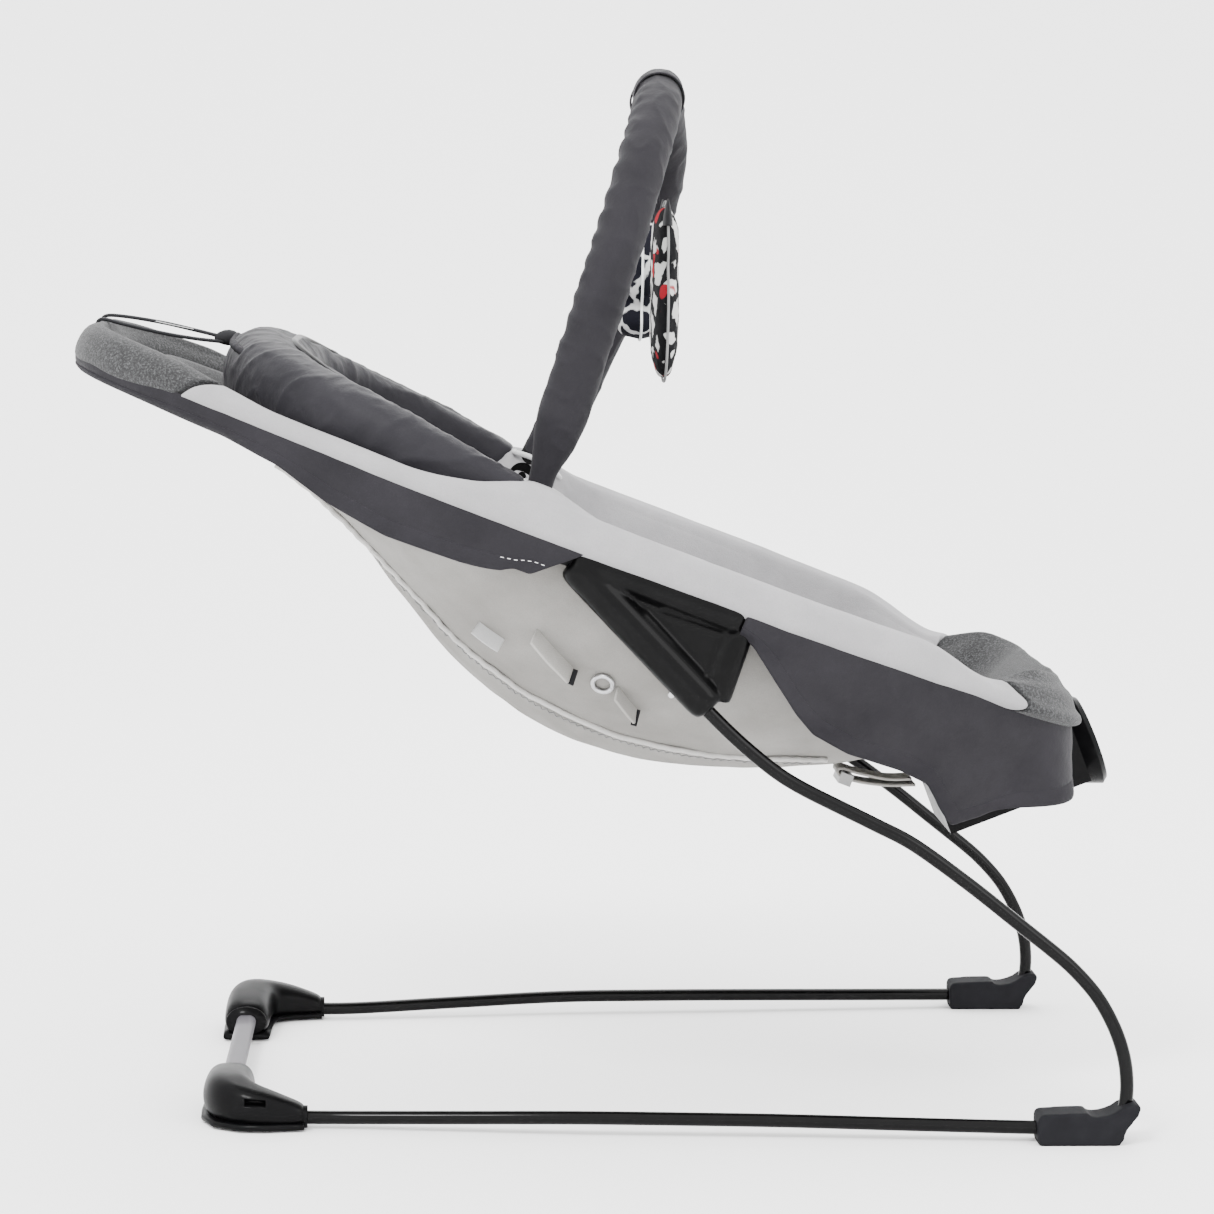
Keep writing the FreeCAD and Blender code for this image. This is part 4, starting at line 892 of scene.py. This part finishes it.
def canopy_frame(angle):
    middle = Vector(canopy_line(angle))
    ahead = Vector(canopy_line(angle + 0.01)) - Vector(canopy_line(angle - 0.01))
    ahead.normalize()
    outward = Vector((ahead.y, -ahead.x, 0)).normalized()
    if outward.dot(Vector((middle.x - HUB_S, middle.y, 0))) < 0:
        outward = -outward
    up = ahead.cross(outward)
    if up.z < 0:
        up = -up
    return middle, outward, up


def canopy():
    """The folded hood: bunched cloth in two long lobes with a crease between them."""
    rows = []
    count = 110
    for k in range(count + 1):
        angle = radians(CANOPY_ANGLE * (2 * k / count - 1))
        middle, outward, up = canopy_frame(angle)
        wide, tall = canopy_section(angle)
        row = []
        for o, h in oval(wide, tall, 40, 2.3):
            crease = 1 - 0.30 * bump(o / wide, -0.10, 0.16) * (h > 0)
            crease -= 0.16 * bump(h / tall, -0.2, 0.2) * (o > 0)
            row.append(rim(*(middle + outward * o + up * h * (crease if h > 0 else 1.5))))
        rows.append(row)
    hood = loft("canopy_cloth", rows)
    plump(hood, 3.0, 0.0045, 0.003)
    wrinkle(hood, 1.2, (60, 22, 36), 2.0)
    wrinkle(hood, 0.4, (20, 10, 14), 6.0)
    dress(hood, "charcoal_shiny", "fabric_dark", "canopy", "canopy_fabric")

    # the rolled rear hem, lighter and gathered by the elastic in the middle
    hem_rows = []
    for k in range(61):
        angle = radians(-30 + 60 * k / 60)
        middle, outward, up = canopy_frame(angle)
        wide, tall = canopy_section(angle)
        gather = bump(k, 30, 4)
        thick = 3.6 - 1.6 * gather + 0.4 * sin(k * 2.1) * (1 - gather)
        sunk = smooth((abs(k - 30) - 14) / 16)
        at = middle + outward * (wide * (0.96 - 0.35 * sunk))
        at += up * (tall * (0.30 + 0.2 * gather - 0.2 * sunk))
        hem_rows.append([rim(*(at + outward * a + up * b)) for a, b in oval(thick, thick * 0.8, 12)])
    dress(subdivide(loft("canopy_hem", hem_rows)), "charcoal_hem", "fabric_dark", "canopy")


# ---------------------------------------------------------------- toy bar and toys

# The toy bar's corners: across in mm, share of its height, and forward in mm.
BAR_CORNERS = [(-168, 0.383, 0), (-128, 0.774, 0), (-52, 1.0, 0), (52, 1.0, 0), (128, 0.774, 24),
               (168, 0.383, 18)]
BAR_TILT = radians(17.9)
BAR_HEIGHT = 287.0
BAR_HALF = 158.0
LEFT_LEG_SHIFT = 9
SLEEVE_RADIUS = 16.2


def bar_point(across, up, forward=0.0):
    hub = rim(HUB_S, 0, HUB_N) / MM
    return Vector((hub.x + up * sin(BAR_TILT) + forward, across, hub.z + up * cos(BAR_TILT))) * MM


def bar_line(low, count):
    """The toy bar's middle line, from a height over the hub up and down again."""
    corners = [bar_point(a, h * BAR_HEIGHT, f) for a, h, f in BAR_CORNERS]
    ends = []
    for side, corner in ((RIGHT, corners[0]), (LEFT, corners[-1])):
        hub = bar_point(side * BAR_HALF, 0)
        ends.append(hub + (corner - hub).normalized() * low * MM)
    corners = [ends[0]] + corners + [ends[1]]
    curve = bpy.data.curves.new("bar_guide", "CURVE")
    curve.dimensions = "3D"
    spline = curve.splines.new("NURBS")
    spline.points.add(len(corners) - 1)
    for point, corner in zip(spline.points, corners):
        point.co = (*corner, 1)
    spline.order_u = 3
    spline.use_endpoint_u = True
    spline.resolution_u = 40
    guide = link("bar_guide", curve)
    graph = bpy.context.evaluated_depsgraph_get()
    mesh = bpy.data.meshes.new_from_object(guide.evaluated_get(graph))
    points = [v.co.copy() for v in mesh.vertices]
    bpy.data.objects.remove(guide)
    line = smooth_line(points, count)
    # the sleeve's left leg sits a little nearer the feet than the rod inside it
    for k, point in enumerate(line):
        point.x += LEFT_LEG_SHIFT * MM * smooth(point.y / MM / 110) * smooth((count - 1 - k) / 16)
    return line


def toy_bar():
    """The cloth sleeve over the foam: puckered along its back seam."""
    line = bar_line(15, 240)
    rows = []
    side = Vector((-1, 0, 0))
    for k, point in enumerate(line):
        share = k / (len(line) - 1)
        ahead = heading(line, k)
        side = (side - ahead * side.dot(ahead)).normalized()
        other = ahead.cross(side)
        end = min(share, 1 - share) * 700
        base = SLEEVE_RADIUS * (0.50 + 0.50 * smooth(end / 46))
        row = []
        for angle in turns(36):
            back = max(0.0, cos(angle)) ** 2.5
            beat = sin(k * 1.15 + 2.1 * sin(k * 0.13) + 0.9 * sin(angle))
            pucker = (0.55 * back * smooth(end / 170) + 0.10) * beat
            r = (base + pucker * smooth(end / 24)) * MM
            row.append(point + side * r * cos(angle) + other * r * sin(angle))
        rows.append(row)
    sleeve = subdivide(loft("toy_bar_sleeve", rows))
    wrinkle(sleeve, 0.8, (16, 30, 20), 3.0)
    dress(sleeve, "charcoal", "fabric_dark", "toy_bar", "toy_bar_padding")


def node_box(node):
    """Middle and half size of a CAD node."""
    low, high = (Vector(p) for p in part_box(node))
    return (low + high) / 2, (high - low) / 2


def waist(body, share):
    """Narrows the panda's cheeks below its ears and the bird at the root of its tail."""
    return 1 - 0.20 * bump(share, 0.28, 0.14) if body == "panda" else 1 - 0.25 * bump(share, -0.45, 0.2)


def toy(body, key, slot, seam_key, shift):
    """A flat stuffed shape with a seam round its flat side, moved along x by a shift."""
    middle, half = node_box(f"toy_{body}")
    rows = []
    for i in range(33):
        share = -1 + 2 * i / 32
        wide = sqrt(max(0.0, 1 - abs(share) ** 2.6)) * waist(body, share)
        thick = sqrt(max(0.0, 1 - abs(share) ** 6))
        row = []
        for angle in turns(32):
            puff = 1 + 0.06 * wave((60 * cos(angle), 60 * sin(angle), 50 * share), 30, 2.0)
            row.append(Vector((middle.x + shift + half.x * thick * puff * cos(angle),
                               middle.y + half.y * wide * puff * sin(angle), middle.z + half.z * share)))
        rows.append(row)
    plushie = plump(loft(f"{body}_plush", rows), 2.0, 0.003, 0.0015)
    wrinkle(plushie, 0.5, (8, 12, 12), 1.0)
    dress(plushie, key, slot, body, f"toy_{body}")
    edge = []
    for angle in turns(60, closed=True):
        share = sin(angle)
        wide = bend(cos(angle), 0.8) * waist(body, share)
        edge.append(middle + Vector((shift, half.y * wide * 1.015, half.z * share * 1.01)))
    dress(tube_along(f"{body}_plush_piping", edge, 0.9 * MM, 8), seam_key, slot, body)


def panda_ears(shift):
    middle, half = node_box("toy_panda")
    for side, name in ((RIGHT, "right"), (LEFT, "left")):
        rows = []
        for i in range(9):
            share = i / 8
            at = middle + Vector((shift, side * half.y * 0.62, half.z * (0.74 + 0.30 * share)))
            section = oval(3.4 * cos(share * 1.45), 11 * cos(share * 1.3), 16)
            rows.append([at + Vector((a, b, 0)) * MM for a, b in section])
        dress(loft(f"panda_ear_{name}", rows), "elastic", "toy_dark", "panda")


def toy_loop(body):
    """The band round the toy bar and the ribbon down to the toy."""
    middle, half = node_box(f"toy_{body}_loop")
    top, foot = middle.z + half.z, middle.z - half.z
    centre = Vector((middle.x, middle.y, top - 20.5 * MM))
    ring = [centre + Vector((cos(a + pi / 2), 0, sin(a + pi / 2))) * 16.8 * MM
            for a in turns(40, closed=True)]
    drop = [Vector((middle.x, middle.y, z)) for z in np.linspace(top - 37.5 * MM, foot, 8)]
    band = webbing(f"{body}_band", ring, 10, 1.0, count=61)
    ribbon = webbing(f"{body}_ribbon", drop, 10, 1.2, count=16)
    loop = joined(f"{body}_loop_band", [band, ribbon])
    dress(loop, "charcoal", "webbing_black", body, f"toy_{body}_loop")


# The toys hang a little beside their CAD places, in metres along x.
PANDA_SHIFT, BIRD_SHIFT = 0.005, -0.009


def toys():
    """A striped head with two ears, and a rounded bird with a tail."""
    toy("panda", "stripes", "toy_pattern", "thread", PANDA_SHIFT)
    panda_ears(PANDA_SHIFT)
    toy("bird", "scribbles", "toy_dark", "white_thread", BIRD_SHIFT)
    for body in ("panda", "bird"):
        toy_loop(body)


# ---------------------------------------------------------------- moulded pieces and wires

def sculpt(name, parts, voxel, rounds):
    """Melts overlapping parts into one moulding with soft inner corners."""
    body = joined(name, parts)
    modify(body, "REMESH", mode="VOXEL", voxel_size=voxel * MM)
    modify(body, "SMOOTH", factor=0.5, iterations=rounds)
    apply_all(body)
    return body


def slab(name, outline, y0, y1):
    """A plate cut to an outline in X and Z, in millimetres."""
    count = len(outline)
    faces = [tuple(range(count)), tuple(range(2 * count - 1, count - 1, -1))]
    faces += [(k, (k + 1) % count, count + (k + 1) % count, count + k) for k in range(count)]
    return solid(name, [Vector((x, y, z)) * MM for y in (y0, y1) for x, z in outline], faces)


def capsule(name, y, start, end, first, last):
    """A round bar from start to end in the plane at y, in millimetres, with soft ends."""
    start, end = Vector((start[0], y, start[1])), Vector((end[0], y, end[1]))
    side = Vector((0, 1, 0))
    other = (end - start).normalized().cross(side)
    shares = [0.0, 0.004, 0.015, 0.035, 0.07, 0.2, 0.4, 0.6, 0.8, 0.93, 0.965, 0.985, 0.996, 1.0]
    swell = [0.55, 0.75, 0.88, 0.96, 1, 1, 1, 1, 1, 1, 0.96, 0.88, 0.75, 0.55]
    rows = []
    for share, size in zip(shares, swell):
        r = (first + (last - first) * share) * size
        rows.append([p * MM for p in circle(start + (end - start) * share, side, other, r, 24)])
    return loft(name, rows)


# The wires' and brackets' place across, the lower sleeve's mouth and the wire's radius.
HALF_WIDTH = 206.5
MOUTH = (60.0, 283.5)
WIRE_RADIUS = 4.5


def bracket(side, name):
    """Two fat sleeves that meet at the head end, a closing rib, and a sunk panel between."""
    y = side * HALF_WIDTH
    head, foot = (-26.0, 381.0), (84.0, 341.0)
    low_head, low_foot = (-26.0, 377.5), (63.5, 284.0)
    parts = [capsule("upper_sleeve", y, head, foot, 10.8, 12.6),
             capsule("lower_sleeve", y, low_head, low_foot, 12.2, 12.6),
             capsule("closing_rib", y, (foot[0] + 2, foot[1] - 4), (low_foot[0] + 6, low_foot[1] + 4),
                     6.2, 6.2),
             slab("panel", [head, foot, (MOUTH[0] + 4, MOUTH[1] + 5)], y - 3.5, y + 3.5)]
    for face in (-4.6, 4.6):
        edge = [Vector((x, y + face, z)) * MM for x, z in ((20, 346), (60, 303), (73, 333), (30, 348))]
        parts.append(tube_along("inner_edge", edge, 1.8 * MM, 8))
    body = sculpt(f"bracket_{name}", parts, 1.6, 4)
    dress(body, "bracket", "black_plastic", "seat", f"bracket_outer_{name}", f"bracket_inner_{name}")


# The front corner's middle line on the floor, with its half width and its height.
CORNER = [(-249, 90, 16, 27), (-249, 106, 16.5, 30), (-249, 128, 17, 32), (-248, 146, 17.5, 33),
          (-243, 158, 17.5, 32), (-233, 165, 16.0, 29), (-220, 167.5, 13.5, 25.5), (-207, 168, 10.5, 20.5),
          (-197, 168.2, 9.0, 16.5)]


def corner(side, name):
    """The curved housing at a front corner, with its base plate and side slot."""
    line = [Vector((x, y * side, 0)) for x, y, _, _ in CORNER]
    rows, plate = [], []
    for k, (point, (_, _, wide, tall)) in enumerate(zip(line, CORNER)):
        ahead = heading(line, k)
        across = Vector((-ahead.y, ahead.x, 0))
        low = 3.0 if k < 7 else 3.0 + (k - 6) * 0.5
        row = []
        for a, b in oval(wide, (tall - low) / 2, 28, 3.0):
            lean = 1 - 0.16 * max(0.0, b / tall * 2)
            row.append((point + across * a * lean + Vector((0, 0, (tall + low) / 2 + b))) * MM)
        rows.append(row)
        plate.append([(point + across * a * (wide + 0.8) + Vector((0, 0, 3.4 + 2.4 * b))) * MM
                      for a, b in oval(1.0, 1.0, 16, 5.0)])
    shell = loft("corner_shell", rows)
    base = loft("corner_plate", plate)
    subdivide(shell, 2)
    outline = [(-236, 17.5), (-222, 17.0), (-222, 21.5), (-236, 22.5)]
    slot = slab("corner_slot", outline, side * 171.5, side * 181.5)
    modify(shell, "BOOLEAN", operation="DIFFERENCE", solver="EXACT", object=slot)
    apply_all(shell)
    bpy.data.objects.remove(slot)
    mouth = tube_along("corner_mouth", [Vector((x, side * 168.2, 8.4)) * MM for x in (-204, -197, -195.2)],
                       7.4 * MM, 20)
    lip = tube_along("corner_lip", [Vector((-249, side * y, 15)) * MM for y in (88.2, 90, 93)], 11.5 * MM, 24)
    lip.data.transform(Matrix.Translation((-0.249, 0, 0.015)) @ Matrix.Diagonal((1.25, 1, 0.9, 1))
                       @ Matrix.Translation((0.249, 0, -0.015)))
    body = joined(f"corner_housing_{name}", [shell, base, mouth, lip])
    dress(body, "housing", "black_plastic", "base", f"corner_cover_{name}", f"corner_base_{name}")


def corner_soles(side, name):
    """The rubber pads under a front corner."""
    pads = [tube_along("corner_pad", [Vector((x, side * y, z)) * MM for z in (0, 0.4, 1.6)],
                       lambda share: (5.4 + 0.6 * share) * MM, 20)
            for x, y in ((-249, 104), (-249, 138), (-243, 160), (-212, 168))]
    dress(joined(f"corner_soles_{name}", pads), "rubber", "rubber_grey", "base", "corner_pads")


# The boot's outline from the side: along and up.
REAR_FOOT = [(278.4, 2.0), (279.6, 0.4), (282, 0.0), (300, 0.0), (328, 0.0), (332, 0.9), (334.2, 3.4),
             (335, 7.4), (336.6, 11.0), (340.4, 15.6), (343.6, 19.8), (345, 24.4), (344.2, 26.6),
             (341.5, 27.4), (337, 26.4), (332.5, 24.6), (328.6, 21.8), (323, 19.6), (316, 18.6),
             (311.8, 19.4), (310.6, 21.4), (300, 21.2), (282, 20.4), (279.2, 19.2), (278.2, 17.2)]


def rear_foot(side, name):
    """The rubber boot on a rear bend, with a flat sole."""
    y = side * HALF_WIDTH
    body = sculpt(f"rear_boot_{name}", [slab(f"foot_block_{name}", REAR_FOOT, y - 12, y + 12)], 1.3, 5)
    for vertex in body.data.vertices:
        if vertex.co.z < 1.2 * MM:
            vertex.co.z = 0.0
    dress(body, "rubber", "rubber_grey", "base", f"rear_foot_{name}")


# The side wire's route. The upright part stays at the half width: along and up.
FLOOR_WIRE = [(-214, 166, 7.6), (-172, 167.5, 7.5), (-100, 177, 9.6), (-20, 187, 11.8), (50, 191.5, 11.9),
              (115, 195, 11.5), (195, 200.5, 10.4), (270, 205.4, 9.5)]
UPRIGHT_WIRE = [(300, 9.4), (318, 10.0), (329, 13.5), (335.4, 21.0), (337.2, 31.0), (337.0, 43.0),
                (335.0, 56.0), (330.6, 70.0), (324.0, 84.0), (315.4, 97.6), (304.0, 110.6), (291.0, 122.6),
                (262.0, 145.6), (232.0, 169.2), (196.0, 195.0), (170.0, 208.6), (146.0, 220.4),
                (124.0, 231.4), (108.0, 241.0), (92.0, 253.4), (76.0, 267.6), (60.0, 283.5), (46.0, 298.2)]


def side_wire(side, name):
    """One sprung wire from the front corner over the rear foot to the bracket's mouth."""
    route = FLOOR_WIRE + [(x, HALF_WIDTH, z) for x, z in UPRIGHT_WIRE]
    points = smooth_line([Vector((x, y * side, z)) * MM for x, y, z in route], 260)
    body = tube_along(f"side_wire_{name}", points, WIRE_RADIUS * MM, 20)
    dress(body, "wire", "wire_gloss", None, f"floor_wire_{name}", f"upright_wire_{name}")
    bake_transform(body)


def bar_slot(side, name):
    """The white binding of the slot in the wing that the toy bar goes into. Its white is brighter than the
    wing's and is partly painted highlight.
    """
    edge = []
    for angle in turns(40, closed=True):
        across, along = 14 * bend(sin(angle), 0.6), 19 * bend(cos(angle), 0.6)
        edge.append(rim(HUB_S + 8 + along, side * (160 + across), 31.0 - 0.010 * (along + 8) ** 2))
    # The brighter white plush of the binding also paints the highlight round the slot.
    dress(tube_along(f"slot_binding_and_highlight_{name}", edge, 2.0 * MM, 10), "white", "fabric_light", "seat")


# ---------------------------------------------------------------- straps

# The harness's webbing, in width and thickness, and its place along the slope.
STRAP = (25, 1.8)
BELT_S = 36.0


def webbing(name, points, wide, thick, across=Vector((0, 1, 0)), count=60):
    """A woven band through points in metres, with slightly raised edges."""
    line = smooth_line(points, count)
    half = wide / 2
    lower = [(-half, -0.5), (-half * 0.9, -0.62), (0, -0.45), (half * 0.9, -0.62), (half, -0.5)]
    outline = lower + [(-a, -b) for a, b in lower]
    rows = []
    for k, point in enumerate(line):
        ahead = heading(line, k)
        side = (across - ahead * across.dot(ahead)).normalized()
        up = ahead.cross(side).normalized()
        rows.append([point + side * a * MM + up * b * thick * MM for a, b in outline])
    return loft(name, rows)


def harness():
    """The crotch strap and the waist straps on the liner."""
    floor_n = -liner_depth(BELT_S)
    crotch = [(126, -liner_depth(126.0) - 4), (112, -liner_depth(112.0)), (88, -liner_depth(88.0)),
              (62, floor_n + 3), (52, floor_n + 5)]
    band = webbing("crotch_webbing", [rim(s, 0, n + 2.5) for s, n in crotch], *STRAP)
    dress(band, "webbing", "webbing_grey", "seat", "crotch_strap")
    u = ring_u(BELT_S)
    for name, at in (("right", u), ("left", 2 - u)):
        run = []
        for share in (0.36, 0.46, 0.58, 0.70, 0.80, 0.88):
            _, y, n = liner_point(at, share)
            run.append(rim(BELT_S, y, n + 2.2 + 4.0 * smooth((share - 0.7) / 0.18)))
        band = webbing(f"waist_webbing_{name}", run, *STRAP, rim(1, 0, 0) - rim(0, 0, 0))
        dress(band, "webbing", "webbing_grey", "seat", f"waist_strap_{name}")


def front_loop():
    """The folded webbing under the sling's foot end, with its slide."""
    line = [rim(s, 0, n) for s, n in ((266, -80), (248, -87), (230, -91.5), (217, -92.5), (211.5, -90.0),
                                      (214, -87.0), (226, -86.2), (246, -83.0), (262, -77.0))]
    dress(webbing("front_webbing", line, 26, 1.7), "light_webbing", "webbing_grey", "seat", "front_strap")
    paint(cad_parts["front_slide"], "slide")


TIE_STRANDS = [
    [(-374, 16, 19), (-373, 17, 25), (-360, 15, 29.5), (-334, 10, 35), (-310, 4, 38.5), (-290, 1, 41)],
    [(-374, -16, 19), (-372, -16, 24), (-356, -14, 26), (-332, -9, 29), (-310, -4, 33), (-290, -1, 38)]]


def tie():
    """The elastic's two strands from the head end to the knot on the canopy's rear hem."""
    across = Vector((0, 1, 0))
    parts = []
    for index, route in enumerate(TIE_STRANDS):
        line = smooth_line([rim(*p) for p in route], 50)
        rows = []
        for k, point in enumerate(line):
            up = heading(line, k).cross(across).normalized()
            rows.append([point + across * a * MM + up * b * MM for a, b in oval(4.0, 1.3, 14, 3.0)])
        parts.append(loft(f"tie_strand_{index}", rows))
    knot = [rim(s, 0, n) for s, n in ((-297, 38), (-291, 41), (-285, 43), (-279, 43))]
    parts.append(tube_along("tie_knot", knot, lambda share: (2.5 + 4.0 * sin(pi * share)) * MM))
    elastic = subdivide(joined("canopy_tie_elastic", parts))
    dress(elastic, "elastic", "webbing_black", None, "canopy_tie")
    label = webbing("tie_label", [rim(-338, 8, 34.6), rim(-325, 6, 36.6), rim(-312, 4, 38.8)], 9, 0.5)
    dress(label, "white", "fabric_light", None)
    for piece in (elastic, label):
        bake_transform(piece)


# ---------------------------------------------------------------- details of the sling's underside

def underside_point(s, side, share, lift):
    """A point on the sling's side wall or bottom, lifted outwards."""
    u = ring_u(s)
    wall = []
    for at in (share, share + 0.02):
        place = basin(u, at, SLING_TOP, sling_depth, SLING_POWER)
        wall.append((-place[1] - SLING_INSET * (1 - at), place[2]))
    (y, n), (near_y, near_n) = wall
    slope_y, slope_n = near_y - y, near_n - n
    size = hypot(slope_y, slope_n)
    return rim(s, side * (y - slope_n / size * lift), n + slope_y / size * lift)


def underside():
    """Piping and a zigzag seam along each edge of the bottom strip, the webbing's anchors, each with its slit
    drawn as a black strip of painted shade, an eyelet and a blank care label."""
    for side, name in ((RIGHT, "right"), (LEFT, "left")):
        up_wall = Vector((0, -side * 0.5, 0.86))
        run = [underside_point(s, side, 0.47 + 0.02 * wave((s, 0, 0), 30, 4.0), 1.2)
               for s in range(-226, 191, 4)]
        pipe = tube_along(f"sling_piping_{name}", run, 1.9 * MM, 8)
        run = [underside_point(-226 + 2.6 * k, side, 0.515 + 0.014 * (-1) ** k, 1.5) for k in range(160)]
        zigzag = tube_along(f"sling_zigzag_{name}", run, 0.45 * MM, 5)
        anchors = []
        for first, last, share, wide in ((-30, 2, 0.13, 22), (34, 52, 0.20, 18)):
            run = [underside_point(s, side, share + 0.07 * k / 6, 2.2)
                   for k, s in enumerate(np.linspace(first, last, 7))]
            anchors.append(webbing("anchor", run, wide, 1.6, up_wall, 16))
        # Each slit is a thin black strip laid on the wall: painted shade that stands for the dark opening of
        # the cut.
        slit_shades = []
        for place, share in ((4, 0.205), (53, 0.275)):
            run = [underside_point(place + d, side, share, 2.4) for d in (-2, 0, 2)]
            slit_shades.append(webbing("slit", run, 17, 1.4, up_wall, 8))
        hole = [underside_point(24 + 6.5 * cos(a), side, 0.205 + 0.033 * sin(a), 1.4)
                for a in turns(24, closed=True)]
        label = [underside_point(s, side, 0.24, 3.0) for s in (-66, -56, -46)]
        for piece, key, slot in (
                (pipe, "piping", "fabric_offwhite"), (zigzag, "thread", "fabric_dark"),
                (joined(f"sling_anchors_{name}", anchors), "light_webbing", "webbing_grey"),
                # the black elastic on each slit strip is painted shade
                (joined(f"sling_slits_{name}", slit_shades), "elastic", "webbing_black"),
                (tube_along(f"sling_eyelet_{name}", hole, 1.6 * MM, 8), "steel", "steel_zinc"),
                (webbing(f"care_label_{name}", label, 16, 0.5, up_wall, 12), "white", "fabric_light")):
            dress(piece, key, slot, "seat")


# ---------------------------------------------------------------- stage, light and camera

def stage():
    """A pale floor that curves up behind the seat, a white world and three soft lights."""
    front, back, bend_radius, half, top = -7.0, 2.2, 1.8, 9.0, 7.0
    profile = [(front, 0.0), (back, 0.0)]
    for step in range(1, 17):
        angle = pi / 2 * step / 16
        profile.append((back + bend_radius * sin(angle), bend_radius * (1 - cos(angle))))
    profile.append((back + bend_radius, top))
    mesh = bpy.data.meshes.new("floor")
    mesh.from_pydata([(x, y, z) for y, z in profile for x in (-half, half)], [],
                     [(2 * k, 2 * k + 1, 2 * k + 3, 2 * k + 2) for k in range(len(profile) - 1)])
    floor = link("floor", mesh)
    floor.data.materials.append(Look("pale_floor").finish(grey(0.93), 0.95, 0.0))
    smooth_faces(floor)

    world = bpy.data.worlds.new("studio")
    bpy.context.scene.world = world
    world.use_nodes = True
    world.node_tree.nodes["Background"].inputs["Color"].default_value = (1, 1, 1, 1)
    world.node_tree.nodes["Background"].inputs["Strength"].default_value = 3.4

    lights = (("key", (-1.2, -2.0, 2.8), 110, 0.8), ("fill", (2.2, -1.8, 1.6), 30, 1.4),
              ("back", (0.3, 1.9, 2.8), 70, 2.0))
    for name, place, power, width in lights:
        light = bpy.data.lights.new(name, "AREA")
        light.energy = power
        light.size = width
        lamp = link(name, light)
        lamp.location = place
        lamp.rotation_euler = (Vector((0, 0, 0.35)) - Vector(place)).to_track_quat("-Z", "Y").to_euler()


def camera():
    """A long lens almost square to the side, a little above the seat."""
    pitch, yaw, roll = radians(5.961), radians(2.612), radians(0.5)
    view = Vector((sin(yaw) * cos(pitch), cos(yaw) * cos(pitch), -sin(pitch)))
    level = Vector((cos(yaw), -sin(yaw), 0))
    upright = level.cross(view)
    right = level * cos(roll) + upright * sin(roll)
    up = upright * cos(roll) - level * sin(roll)
    data = bpy.data.cameras.new("camera")
    data.sensor_width = 36
    data.lens = 107.5
    made = link("camera", data)
    turn = Matrix((right, up, -view)).transposed().to_4x4()
    made.matrix_world = Matrix.Translation((-0.10826, -2.5, 0.58825)) @ turn
    bpy.context.scene.camera = made


camera()
stage()
paint_carried()
seat_liner()
sling()
skirts()
canopy()
toy_bar()
toys()
tie()
harness()
front_loop()
underside()
for side, name in ((RIGHT, "right"), (LEFT, "left")):
    bracket(side, name)
    corner(side, name)
    corner_soles(side, name)
    rear_foot(side, name)
    side_wire(side, name)
    bar_slot(side, name)
